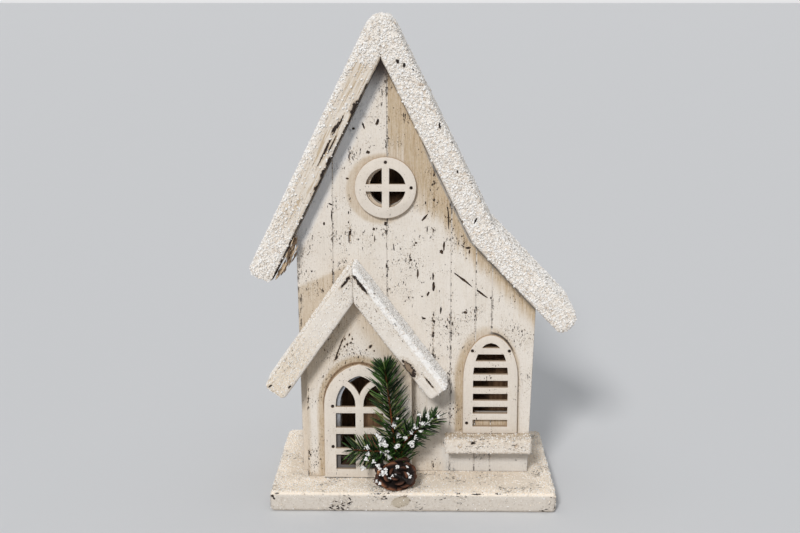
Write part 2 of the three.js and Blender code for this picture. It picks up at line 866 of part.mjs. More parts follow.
const doorBradInset = 6.4;
const doorBrads = [0.43, 0.98].map((share, i) => {
  const height = baseThickness + glueLine + share * doorSpring;
  return flatBrad(`door_brad_${i + 1}`, doorCentre - doorWidth / 2 + doorBradInset, height, doorFace - headHeight / 2);
});

const roundBradRadius = (roundRadius + roundOpening) / 2;
const roundBrads = [Math.PI / 2, 0].map((angle, i) => {
  const x = roundCentreX + roundBradRadius * Math.cos(angle);
  const y = baseThickness + roundCentreRise + roundBradRadius * Math.sin(angle);
  return flatBrad(`round_window_brad_${i + 1}`, x, y, plateFace - headHeight / 2);
});

const louvreBradInset = 3;
const louvreBradUp = 64;
const louvreBradSpread = 13.6;
const louvreBrads = [
  [-louvreBradSpread, louvreBradUp],
  [louvreBradSpread, louvreBradUp],
  [louvreBradInset - louvreWidth / 2, firstSlotRise + slotHeight / 2],
].map(([x, y], i) => {
  const height = baseThickness + louvreBottom + y;
  return flatBrad(`louvre_brad_${i + 1}`, louvreCentre + x, height, plateFace - headHeight / 2);
});

const sillNailInset = 11;
const sillNails = [sillLeft + sillNailInset, sillRight - sillNailInset].map((x, i) => {
  const height = baseThickness + sillTopRise - sillHeight / 2;
  const head = new THREE.Vector3(x, height, frontFace + sillReach - headHeight);
  return driven(`sill_nail_${i + 1}`, head, nailRadius, sillReach + wallThickness / 2);
});

const wallMiddles = [['front', frontFace - wallThickness / 2], ['back', backFace + wallThickness / 2]];
const roofNailRuns = [
  ['left', leftSlope, leftBoardLength / 2],
  ['right', rightSlope, kneeRun / 2],
  ['eave', eaveSlope, eaveBoardLength / 3],
];
const roofNails = roofNailRuns.flatMap(([name, line, distance]) => wallMiddles.map(([wall, z]) => (
  slopeNail(`roof_nail_${name}_${wall}`, line, roofThickness, distance, z)
)));

const panelMiddle = frontFace + porchProud / 2;
const porchNails = [['left', porchLeftSlope], ['right', porchRightSlope]].map(([name, line]) => (
  slopeNail(`porch_nail_${name}`, line, porchRoofThickness, porchLeftLength / 3, panelMiddle)
));

function roomsOf(fixings) {
  return fixings.map((one) => nailRoom(one.radius, one.length).applyMatrix4(one.matrix));
}

// The same rooms, moved into the frame of a wall whose back face lies at a depth
function roomsInSlab(back) {
  const all = [...roundBrads, ...louvreBrads, ...sillNails, ...roofNails];
  return roomsOf(all).map((room) => room.translate(0, 0, -back));
}

function makeFixings() {
  for (const one of [...doorBrads, ...roundBrads, ...louvreBrads, ...sillNails, ...roofNails, ...porchNails]) {
    place(one.name, nail(one.radius, one.length).applyMatrix4(one.matrix), steel);
  }
}

// Pine cone: a core with scales in a golden-angle spiral, lying with its tip to the front

const coneAxis = new THREE.Vector3(0.12, 0.35, 1).normalize();
const padTop = baseThickness + glueLine + gluePadHeight;

function coneSurface(t) {
  return coneRadius * Math.pow(Math.sin(Math.PI * (0.16 + 0.74 * t)), 0.8);
}

function makeCone() {
  const profile = [new THREE.Vector2(0, 0)];
  for (let i = 0; i <= 6; i += 1) {
    profile.push(new THREE.Vector2(0.6 * coneSurface(i / 6), coneLength * (0.04 + 0.84 * i / 6)));
  }
  profile.push(new THREE.Vector2(0, coneLength * 0.96));
  const solids = [solidFrom(new THREE.LatheGeometry(profile, 10))];
  for (let i = 0; i < scaleCount; i += 1) {
    const t = (i + 0.5) / scaleCount;
    const size = 0.7 + 0.3 * Math.sin(Math.PI * Math.min(1, 0.3 + 0.7 * (1 - t)));
    const reach = scaleLength / 2 * size;
    const scale = new THREE.SphereGeometry(1, 6, 3);
    scale.scale(scaleWidth / 2 * size, scaleThickness / 2, reach);
    scale.rotateX(-(15 + 50 * t) * degree);
    scale.translate(0, coneLength * (0.1 + 0.8 * t), coneSurface(t) - reach * 0.8);
    scale.rotateY(i * goldenAngle);
    solids.push(solidFrom(scale));
  }
  const geometry = geometryFrom(join(solids));
  geometry.applyQuaternion(new THREE.Quaternion().setFromUnitVectors(new THREE.Vector3(0, 1, 0), coneAxis));
  geometry.scale(1, coneFlattening, 1);
  geometry.computeBoundingBox();
  const box = geometry.boundingBox;
  const middle = box.getCenter(new THREE.Vector3());
  geometry.translate(sprigShift - middle.x, padTop + clearTouch - box.min.y, doorFace + coneRoom - box.min.z);
  geometry.computeBoundingBox();
  place('pine_cone', geometry, coneBrown);
  return geometry;
}

// Pine sprig: three stems with needles in golden-angle spirals, none of them touching another

// A branch's route, as shares of how far it leans, rises and reaches
const upright = [[0, 0, 0], [0.1, 0.27, 0.07], [0.48, 0.62, 0.95], [0.85, 0.9, 1.08], [1, 1, 1]];
const bowed = [[0, 0, 0], [0.08, 0.74, 0.04], [0.42, 0.92, 0.65], [1, 1, 1]];
const leaning = [[0, 0, 0], [0.05, 0.48, 0.04], [0.4, 0.76, 0.75], [1, 1, 1]];
const branches = [
  {
    name: 'sprig_main_branch',
    foot: 0,
    size: [mainLean, mainRise, mainReach],
    route: upright,
    count: 235,
    bare: 0.2,
  },
  {
    name: 'sprig_left_branch',
    foot: -stemSpacing,
    size: [leftLeanOut, leftRise, leftReach],
    route: bowed,
    count: 110,
    bare: 0.3,
  },
  {
    name: 'sprig_right_branch',
    foot: stemSpacing,
    size: [rightLeanOut, rightRise, rightReach],
    route: leaning,
    count: 150,
    bare: 0.3,
  },
];

function stemCurve({ foot, size, route }) {
  const [lean, rise, reach] = size;
  const points = route.map(([aside, up, forward]) => new THREE.Vector3(
    sprigShift + foot + lean * aside,
    padTop + glueLine + rise * up,
    doorFace + stemBack + reach * forward,
  ));
  return new THREE.CatmullRomCurve3(points);
}

function stemSolid(curve) {
  const section = new THREE.Shape(arc(new THREE.Vector2(0, 0), stemRadius, 0, 2 * Math.PI * 5 / 6, 5));
  return solidFrom(new THREE.ExtrudeGeometry(section, { steps: 14, bevelEnabled: false, extrudePath: curve }));
}

// How near two straight needles come to each other
function needleDistance(a, b) {
  const u = a.end.clone().sub(a.start);
  const v = b.end.clone().sub(b.start);
  const w = a.start.clone().sub(b.start);
  const uu = u.dot(u);
  const uv = u.dot(v);
  const vv = v.dot(v);
  const uw = u.dot(w);
  const vw = v.dot(w);
  const clamp = THREE.MathUtils.clamp;
  const flat = uu * vv - uv * uv;
  let s = flat > 1e-9 ? clamp((uv * vw - vv * uw) / flat, 0, 1) : 0;
  const t = clamp((uv * s + vw) / vv, 0, 1);
  s = clamp((uv * t - uw) / uu, 0, 1);
  return w.addScaledVector(u, s).addScaledVector(v, -t).length();
}

// Whether a point of a needle would stand in or too near the woodwork
function inWood(point) {
  const margin = 0.8;
  const overDoor = Math.abs(point.x - doorCentre) < doorWidth / 2 + margin;
  const overPanel = Math.abs(point.x - porchCentre) < porchWidth / 2 + margin;
  const wall = overDoor ? doorFace : overPanel ? panelFace : frontFace;
  if (point.z < wall + margin || point.y < baseThickness + margin) {
    return true;
  }
  const flat = new THREE.Vector2(point.x, point.y);
  const underPorch = [porchLeftSlope, porchRightSlope].every((line) => (
    flat.clone().sub(line.start).dot(line.out) < -margin
  ));
  if (!underPorch && point.z < frontFace + porchRoofReach + margin) {
    return point.y > porchEndHeight - margin;
  }
  const besideSill = point.x < sillLeft - margin || point.z > frontFace + sillReach + margin;
  return !besideSill && point.y < baseThickness + sillTopRise + margin;
}

const porchEndHeight = Math.min(
  pointOn(porchRightSlope, porchRightLength).y,
  pointOn(porchLeftSlope, porchLeftLength).y,
);

function needleSolid(needle) {
  const direction = needle.end.clone().sub(needle.start);
  const length = direction.length();
  const geometry = new THREE.ConeGeometry(needleRadius, length, 3);
  geometry.translate(0, length / 2, 0);
  const turn = new THREE.Quaternion().setFromUnitVectors(new THREE.Vector3(0, 1, 0), direction.normalize());
  geometry.applyQuaternion(turn);
  geometry.translate(needle.start.x, needle.start.y, needle.start.z);
  return solidFrom(geometry);
}

function makeSprig(coneGeometry) {
  const coneBox = coneGeometry.boundingBox.clone().expandByScalar(0.6);
  const curves = branches.map(stemCurve);
  const stems = curves.map((curve) => curve.getPoints(24));
  const placed = [];
  branches.forEach((branch, index) => {
    const curve = curves[index];
    const solids = [stemSolid(curve)];
    const others = stems.filter((_, i) => i !== index).flat();
    for (let i = 0; i < branch.count; i += 1) {
      const share = branch.bare + (1 - branch.bare) * (i + 0.5) / branch.count;
      const along = curve.getTangentAt(share);
      const root = curve.getPointAt(share).addScaledVector(along, -stemRadius);
      const across = new THREE.Vector3(0, 0, 1).cross(along).normalize();
      across.applyAxisAngle(along, i * goldenAngle);
      const tilt = needleTilt * (1 - 0.6 * Math.pow(share, 6));
      const length = needleLength * (0.92 + 0.08 * Math.sin(7 * i)) * (1 - 0.4 * Math.pow(share, 5));
      const direction = along.clone().multiplyScalar(Math.cos(tilt)).addScaledVector(across, Math.sin(tilt));
      const start = root.clone().addScaledVector(direction, 0.3 * stemRadius);
      const surface = root.clone().addScaledVector(direction, 1.5 * stemRadius);
      const end = root.clone().addScaledVector(direction, length);
      const outer = { start: surface, end };
      const checks = [0.15, 0.4, 0.6, 0.8, 1].map((part) => root.clone().lerp(end, part));
      const hitsWood = checks.some((point) => inWood(point) || coneBox.containsPoint(point));
      const hitsStem = others.some((point) => (
        needleDistance(outer, { start: point, end: point.clone().add(new THREE.Vector3(0, 0.1, 0)) })
          < stemRadius + needleRadius + needleGap + 1
      ));
      const crowded = placed.some((other) => needleDistance(outer, other) < 2 * needleRadius * 0.6 + needleGap);
      if (hitsWood || hitsStem || crowded) {
        continue;
      }
      placed.push(outer);
      solids.push(needleSolid({ start, end }));
    }
    place(branch.name, geometryFrom(join(solids)), pineGreen);
  });
}

// The pad of glue that the cone and the stems stand in
function makeGluePad() {
  const profile = [
    new THREE.Vector2(0, 0),
    new THREE.Vector2(gluePadRadius, 0),
    new THREE.Vector2(gluePadRadius, gluePadHeight * 0.5),
    new THREE.Vector2(gluePadRadius * 0.93, gluePadHeight),
    new THREE.Vector2(0, gluePadHeight),
  ];
  const geometry = new THREE.LatheGeometry(profile, 24);
  geometry.scale(gluePadStretch, 1, 1);
  geometry.translate(sprigShift, baseThickness + glueLine, doorFace + 0.4 + gluePadRadius);
  place('glue_pad', geometry, clearGlue);
}

makeBase();
makeFrontWall();
makeBackWall();
makeSideWall('left_wall', leftWallLine, leftSlope);
makeSideWall('right_wall', rightWallLine, eaveSlope);
makeBlocksAndScrews();
makeMainRoof();
makePorchFront();
makePorchRoof();
makeDoorPlate();
makeRoundWindow();
makeLouvre();
makeSill();
makeFixings();
makeSprig(makeCone());
makeGluePad();

export default chapel;
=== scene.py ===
"""A weathered wooden Christmas chapel: cream paint, snow grit, fretted plates, pine needles and a cone."""
import functools
import math
import random
from collections import namedtuple

import bpy
import numpy as np
from mathutils import Matrix, Quaternion, Vector, kdtree


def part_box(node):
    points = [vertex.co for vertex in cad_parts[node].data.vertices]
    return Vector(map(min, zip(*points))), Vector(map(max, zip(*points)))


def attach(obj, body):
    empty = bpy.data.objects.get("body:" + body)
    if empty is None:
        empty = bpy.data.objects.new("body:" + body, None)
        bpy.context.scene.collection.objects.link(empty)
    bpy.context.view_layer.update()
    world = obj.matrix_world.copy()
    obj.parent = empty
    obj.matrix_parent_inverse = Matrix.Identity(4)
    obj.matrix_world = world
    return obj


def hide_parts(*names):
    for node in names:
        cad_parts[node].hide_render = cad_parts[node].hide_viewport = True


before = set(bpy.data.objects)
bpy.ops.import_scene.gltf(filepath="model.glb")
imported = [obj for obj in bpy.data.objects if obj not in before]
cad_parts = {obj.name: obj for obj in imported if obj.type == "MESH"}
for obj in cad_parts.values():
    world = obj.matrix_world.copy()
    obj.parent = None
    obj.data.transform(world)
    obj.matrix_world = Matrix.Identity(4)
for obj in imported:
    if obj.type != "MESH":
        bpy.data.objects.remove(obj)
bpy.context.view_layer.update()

MM = 0.001
GOLDEN_ANGLE = math.pi * (3 - math.sqrt(5))

# The camera's place in metres, how far it looks down and aside in degrees, and its film in millimetres
CAMERA_PLACE = (0.0051, -0.9216, 0.3636)
CAMERA_DOWN = 11.99
CAMERA_ASIDE = 0.97
FILM_WIDTH = 36
LENS = 56.34

# Direction, power and spread in degrees of the two lamps, then the room and the floor's size in metres
KEY_LIGHT = ((0.28, 1.0, -0.65), 2.33, 11)
TOP_LIGHT = ((0, 0, -1), 0.7, 80)
BACKDROP = (0.78, 0.78, 0.79, 1)
SKY_LIGHT = (0.88, 0.94, 1.0, 1)
SKY_STRENGTH = 0.25
FLOOR_SIZE = 400

# Sizes that the finishes follow, in millimetres: X right, Z up, -Y to the front
BASE_TOP = 14.4
BASE_HALF_WIDTH = 104
BASE_HALF_DEPTH = 69
FRONT_WALL_FACE = -24.5
FRONT_WALL_INSIDE = -16.5
PORCH_FACE = -36.5
DOOR_FACE = -39.7
WALL_FOOT_LEFT = -85.6
WALL_LEAN_LEFT = 0.0166
PORCH_LEFT_EDGE = -78.6
PLANK_LINES = (-59.0, -19.4, 27.5, 45.8, 57.8)
SPLIT_LINES = (-46.5, 14.5)

# The underside of each roof board in the front view: its upper corner, its pitch in degrees, and
# side, which is -1 where it falls to the left and 1 to the right
Slope = namedtuple("Slope", "corner pitch side")
RIDGE = (-23.4, 324.8)
KNEE = (42.1, 193.4)
PORCH_RIDGE = (-43.0, 152.4)
MAIN_LEFT = Slope(RIDGE, 63.8, -1)
MAIN_RIGHT = Slope(RIDGE, 63.5, 1)
MAIN_EAVE = Slope(KNEE, 46.3, 1)
PORCH_LEFT = Slope(PORCH_RIDGE, 55.0, -1)
PORCH_RIGHT = Slope(PORCH_RIDGE, 52.75, 1)

Disc = namedtuple("Disc", "x z radius")
ROUND_WINDOW = Disc(-20.5, 231.7, 22.4)
Arch = namedtuple("Arch", "middle spring half rise")
LOUVRE = Arch(57.2, 89.2, 20.35, 33.1)
DOOR = Arch(-39.8, 71.6, 26.2, 31.3)


def tint(red, green, blue):
    """A colour as it looks on a screen, from 0 to 255, for a shader."""
    def linear(value):
        value = value / 255
        return value / 12.92 if value <= 0.04045 else ((value + 0.055) / 1.055) ** 2.4
    return (linear(red), linear(green), linear(blue), 1.0)


FLOOR = tint(214, 214, 215)
CREAM = tint(224, 216, 206)
WORN_CREAM = tint(208, 197, 183)
PLATE_CREAM = tint(218, 208, 196)
TAN_GLAZE = tint(187, 166, 136)
DEEP_GLAZE = tint(156, 131, 100)
# Brown glaze and painted shade for the plates' side edges
PLATE_EDGE_GLAZE_AND_SHADE = tint(168, 138, 104)
# Painted shade: dark brown for the gap round the door plate's arch
PAINTED_DOOR_GAP_SHADE = tint(112, 84, 56)
SNOW = tint(240, 237, 233)
GRIT_SHADE = tint(220, 212, 202)
GRIT_BED = tint(231, 224, 215)
GRIT_PIT = tint(182, 158, 130)
WARM_BED = tint(221, 208, 190)
# Painted light: a lighter grit bed and grains on the base's top
PAINTED_LIGHT_BASE_BED = tint(247, 234, 217)
BASE_SHADE = tint(238, 224, 205)
SILL_BED = tint(222, 210, 195)
SILL_SHADE = tint(212, 199, 182)
CHIP = tint(42, 31, 24)
CHIP_FIBRE = tint(92, 72, 54)
CHIP_FLOOR_FIBRE = tint(96, 74, 54)
# Painted shade: dark brown for the wall in the apex under the roof boards
PAINTED_APEX_SHADE = tint(70, 50, 35)
GREYED_WOOD = tint(136, 116, 96)
# Bare wood, made lighter as painted light for the dim inside
BARE_WOOD = tint(160, 124, 92)
BARE_WOOD_SHADE = tint(104, 78, 56)
# Painted shadow: grey-blue for the wall under the left roof board
PAINTED_SHADOW_BLUE = tint(214, 218, 224)
SILL_SHADOW = tint(205, 203, 200)
# Painted shadow: grey for the wall just under the right roof board
PAINTED_EAVE_SHADOW = tint(150, 148, 146)
# Painted shade: grey-blue, and darker grey lower down, behind the door plate's openings
PAINTED_REVEAL_SHADE = tint(160, 163, 168)
PAINTED_LOW_REVEAL_SHADE = tint(104, 100, 98)
REVEAL_WOOD = tint(74, 54, 40)

# Where the paint has dropped off, as seen from the front: X, Z, height, breadth and lean in degrees.
# On the front wall the chips are cut CHIP_DEPTH deep. On the other pieces they are only coloured,
# as far behind the front face as CHIP_REACH.
CHIP_DEPTH = 0.5
CHIP_REACH = 2.4
FACADE_CHIPS = (
    (-36.3, 276.0, 5.7, 1.4, -18), (-26.2, 278.6, 5.4, 2.6, 25), (-33.2, 256.9, 2.3, 3.3, 0),
    (-43.4, 274, 2.0, 2.4, 30), (-48.3, 237.8, 1.6, 2.8, 0), (-59.8, 210.5, 9.5, 1.1, 0),
    (-65.5, 204.8, 2.6, 2.0, 0), (-60.4, 219.0, 1.4, 3.6, 20), (-47.5, 212.8, 2.6, 1.0, 0),
    (-47.6, 205.8, 2.1, 1.0, 0), (-47.3, 194.0, 8.5, 1.0, 0), (-20.7, 204.8, 2.8, 2.2, 0),
    (-29.2, 200.8, 2.4, 1.8, 0), (-28.6, 193.5, 5.4, 0.8, 0), (-19.6, 188.0, 5.6, 1.3, -8),
    (-19.9, 173.7, 3.5, 1.3, 0), (-14.6, 187.0, 5.5, 0.9, -6), (-2.0, 177.9, 1.9, 1.7, 0),
    (1.6, 190.6, 1.8, 2.2, 0), (7.8, 209.2, 7.1, 1.6, 38), (8.5, 220.3, 2.4, 1.0, 0),
    (9.7, 200.8, 5.3, 0.9, 0), (22.0, 188.5, 8.2, 1.6, 0), (20.3, 184.1, 3.2, 3.1, 0),
    (2.9, 167.8, 8.6, 1.4, 0), (14.2, 166.0, 6.0, 1.4, 0), (14.6, 158.0, 7.5, 2.2, 0),
    (10.6, 152.5, 4.2, 1.7, 20), (6.2, 150.5, 1.5, 1.4, 0), (20.1, 140.4, 5.7, 1.4, 0),
    (15.0, 131.5, 2.7, 2.1, 0), (7.6, 133.9, 1.6, 2.9, 0), (39.7, 187.2, 1.9, 3.9, 0),
    (40.6, 184.2, 3.5, 1.4, 0), (36.4, 163.2, 16.6, 1.7, -51), (50.2, 152.7, 11.3, 1.6, -53),
    (56.8, 149.6, 2.2, 1.6, 0), (25.1, 208.4, 17.1, 1.0, -2), (38.2, 138.4, 2.2, 2.6, 40),
    (27.7, 138.5, 8.1, 0.9, 0),
)
BASE_CHIPS = (
    (-102.6, 11.8, 2.4, 3.4, 0), (-105.0, 8.6, 3.0, 1.8, 20), (-100.8, 10.0, 1.6, 2.0, 0),
    (-104.6, 3.8, 2.4, 1.6, 0), (-98.6, 13.6, 1.0, 3.4, 0), (46.0, 13.8, 0.9, 9.0, 0),
    (62.0, 14.0, 0.9, 6.0, 0), (33.0, 14.0, 0.8, 4.0, 0),
)
PORCH_CHIPS = (
    (-54.6, 113.6, 18.0, 0.9, 22), (-52.4, 119.4, 2.4, 1.2, 20), (-56.6, 107.0, 4.4, 1.6, 20),
    (-50.2, 121.0, 1.8, 1.1, 0), (-47.0, 124.2, 2.8, 0.9, 20), (-48.4, 117.2, 1.8, 1.2, 30),
    (-44.8, 121.2, 1.5, 1.0, 0), (-50.6, 115.4, 1.3, 1.2, 0), (-31.6, 115.6, 2.8, 1.8, 40),
    (-45.6, 118.4, 1.5, 0.9, 0), (-34.4, 113.0, 1.0, 1.2, 0), (-28.8, 112.2, 1.2, 0.9, 0),
)
LEFT_BOARD_CHIPS = (
    (-41.0, 290.8, 7.8, 4.2, 28), (-43.4, 287.0, 3.2, 3.4, 0), (-54.8, 276.1, 10.5, 1.5, 26),
    (-51.6, 280.3, 9.8, 1.1, 26), (-56.8, 274.5, 6.0, 1.3, 26), (-61.6, 261.9, 11.9, 1.6, 24),
    (-64.9, 255.6, 14.9, 1.0, 26), (-57.6, 264.4, 12.4, 1.0, 27), (-60.4, 252.0, 6.1, 2.4, 24),
    (-65.0, 243.9, 6.6, 1.7, 26), (-69.1, 232.7, 3.6, 3.2, 0), (-76.8, 214.2, 4.9, 1.4, 28),
    (-82.0, 202.7, 5.4, 1.6, 26), (-88.6, 191.0, 9.0, 1.2, 26), (-97.6, 174.6, 11.0, 1.2, 28),
    (-33.6, 304.8, 4.0, 1.5, 26),
)
RIGHT_BOARD_CHIPS = (
    (-11.6, 322.5, 2.9, 1.9, -20), (-6.8, 319.8, 3.4, 1.7, 0), (-0.6, 316.6, 1.2, 1.1, 0),
    (18.2, 277.4, 4.8, 1.5, -10), (33.2, 208.4, 3.8, 3.5, 0), (43.9, 209.8, 4.6, 1.5, 30),
    (30.9, 245.1, 2.0, 1.3, 0),
)
PORCH_LEFT_CHIPS = (
    (-49.0, 167.0, 9.0, 1.8, 42), (-46.5, 170.4, 4.0, 2.2, 42), (-103.6, 90.5, 3.4, 1.2, 50),
    (-89.5, 90.0, 3.0, 1.4, 40),
)
PORCH_RIGHT_CHIPS = (
    (-37.0, 165.0, 15.0, 2.2, -38), (-41.6, 171.4, 3.4, 2.0, -38), (-2.8, 104.2, 12.0, 5.4, -38),
    (-0.4, 99.6, 5.0, 4.0, -38), (11.4, 93.8, 9.6, 1.2, -38), (-7.2, 109.6, 2.4, 1.8, -20),
)
LARGE_CHIP_MIDDLE = (-3.6, 104.8, 9.5, 3.4, -38)
SILL_CHIPS = ((44.3, 43.5, 1.8, 3.6, 0),)


# Camera, light and floor

def set_up_studio():
    scene = bpy.context.scene
    rotation = (math.radians(90 - CAMERA_DOWN), 0, math.radians(CAMERA_ASIDE))
    bpy.ops.object.camera_add(location=CAMERA_PLACE, rotation=rotation)
    camera = bpy.context.object
    camera.data.lens = LENS
    camera.data.sensor_width = FILM_WIDTH
    camera.data.clip_start = 0.01
    camera.data.clip_end = 1000
    scene.camera = camera
    scene.view_settings.view_transform = "Standard"

    for direction, power, spread in (KEY_LIGHT, TOP_LIGHT):
        bpy.ops.object.light_add(type="SUN", location=(0, 0, 2))
        lamp = bpy.context.object
        lamp.data.energy = power
        lamp.data.angle = math.radians(spread)
        lamp.rotation_euler = Vector(direction).to_track_quat("-Z", "Y").to_euler()

    world = bpy.data.worlds.new("pale_studio")
    world.use_nodes = True
    scene.world = world
    room = NodeSheet(world.node_tree)
    room.tree.nodes.clear()
    path = room.node("LightPath").socket.node.outputs
    rays = [Wire(room, path[ray]) for ray in ("Is Camera Ray", "Is Glossy Ray", "Is Transmission Ray")]
    shown = room.node("Background", inputs={"Color": BACKDROP})
    light = room.node("Background", inputs={"Color": SKY_LIGHT, "Strength": SKY_STRENGTH})
    choice = room.node("MixShader", inputs={0: most(*rays), 1: light, 2: shown})
    room.node("OutputWorld", inputs={"Surface": choice})

    bpy.ops.mesh.primitive_plane_add(size=FLOOR_SIZE, location=(0, 0, 0))
    floor = bpy.context.object
    floor.name = "studio_floor"
    matt = Finish("studio_floor", roughness=0.9)
    matt.colour(FLOOR)
    floor.data.materials.append(matt.material)


# Finishes

class Wire:
    """One socket on a sheet of nodes. Python's operators on it add Math nodes."""

    def __init__(self, sheet, socket):
        self.sheet = sheet
        self.socket = socket

    def math(self, operation, *others):
        return self.sheet.node("Math", {"operation": operation}, dict(enumerate((self,) + others)))

    def __add__(self, other):
        return self.math("ADD", other)

    def __sub__(self, other):
        return self.math("SUBTRACT", other)

    def __mul__(self, other):
        return self.math("MULTIPLY", other)

    def __rsub__(self, other):
        return self * -1 + other

    def __neg__(self):
        return self * -1

    __radd__ = __add__
    __rmul__ = __mul__

    def abs(self):
        return self.math("ABSOLUTE")

    def above(self, other):
        """The larger of the two."""
        return self.math("MAXIMUM", other)

    def below(self, other):
        """The smaller of the two."""
        return self.math("MINIMUM", other)

    def rise(self, low, high):
        """0 at low and 1 at high, smoothly; high may be the lower of the two."""
        return self.sheet.node("MapRange", {"interpolation_type": "SMOOTHSTEP"}, {0: self, 1: low, 2: high})


def most(*wires):
    """The largest of several wires."""
    return functools.reduce(Wire.above, wires)


def least(*wires):
    """The smallest of several wires."""
    return functools.reduce(Wire.below, wires)


def root_of_squares(a, b):
    return (a * a + b * b).math("SQRT")


class NodeSheet:
    """A tree of shader nodes, each added by its type, its settings and the values of its sockets."""

    def __init__(self, tree):
        self.tree = tree

    def node(self, kind, settings=None, inputs=None, output=0):
        made = self.tree.nodes.new("ShaderNode" + kind)
        for name, value in (settings or {}).items():
            if name == "stops":
                ramp = made.color_ramp
                ramp.elements[0].position, ramp.elements[0].color = value[0]
                ramp.elements[1].position, ramp.elements[1].color = value[-1]
                for position, colour in value[1:-1]:
                    ramp.elements.new(position).color = colour
            else:
                setattr(made, name, value)
        for name, value in (inputs or {}).items():
            if isinstance(value, Wire):
                self.tree.links.new(value.socket, made.inputs[name])
            else:
                made.inputs[name].default_value = value
        return Wire(self, made.outputs[output]) if made.outputs else None


class Finish(NodeSheet):
    """A procedural material whose patterns are sized in millimetres of the piece itself."""

    def __init__(self, name, roughness=0.8, metallic=0.0):
        self.material = bpy.data.materials.new(name)
        self.material.use_nodes = True
        super().__init__(self.material.node_tree)
        self.surface = self.tree.nodes["Principled BSDF"]
        self.surface.inputs["Roughness"].default_value = roughness
        self.surface.inputs["Metallic"].default_value = metallic
        self.surface.inputs["Specular IOR Level"].default_value = 0.28

    @functools.cached_property
    def place(self):
        """The place on the piece, in millimetres."""
        return self.vector("SCALE", self.node("TexCoord", output="Object"), scale=1 / MM)

    def vector(self, operation, a, b=None, scale=None, output=0):
        inputs = {0: a, 1: b, "Scale": scale}
        given = {name: value for name, value in inputs.items() if value is not None}
        return self.node("VectorMath", {"operation": operation}, given, output)

    def axes(self):
        """X, Y and Z of the place."""
        parts = self.node("SeparateXYZ", inputs={0: self.place})
        return [Wire(self, socket) for socket in parts.socket.node.outputs]

    def facing(self, axis, kind="Normal"):
        """How far the surface faces along an axis: 0 for X, 1 for Y and 2 for Z."""
        return self.node("SeparateXYZ", inputs={0: self.node("NewGeometry", output=kind)}, output=axis)

    def turned(self, lean):
        """The place in a frame turned so that its Z runs along a board that leans by so many degrees."""
        inputs = {"Vector": self.place, "Angle": math.radians(lean)}
        return self.node("VectorRotate", {"rotation_type": "Y_AXIS"}, inputs)

    def noise(self, size, detail=2, roughness=0.5, seed=0.0, place=None):
        """Noise between about 0.2 and 0.8 whose blobs measure size, one number or one for each axis."""
        sizes = size if isinstance(size, tuple) else (size, size, size)
        scaled = self.vector("MULTIPLY", place or self.place, tuple(1 / s for s in sizes))
        moved_on = self.vector("ADD", scaled, (seed, seed * 1.7 + 0.3, seed * 0.6 + 0.7))
        inputs = {"Vector": moved_on, "Scale": 1.0, "Detail": detail, "Roughness": roughness}
        return self.node("TexNoise", inputs=inputs)

    def mix(self, under, over, mask):
        return self.node("Mix", {"data_type": "RGBA"}, {0: mask, 6: under, 7: over}, output=2)

    def attribute(self, name):
        return self.node("Attribute", {"attribute_name": name}, output="Fac")

    def colour(self, value):
        if isinstance(value, Wire):
            self.tree.links.new(value.socket, self.surface.inputs["Base Color"])
        else:
            self.surface.inputs["Base Color"].default_value = value

    def relief(self, height):
        """Bump from a height in millimetres."""
        bump = self.node("Bump", inputs={"Strength": 1.0, "Distance": MM, "Height": height})
        self.tree.links.new(bump.socket, self.surface.inputs["Normal"])


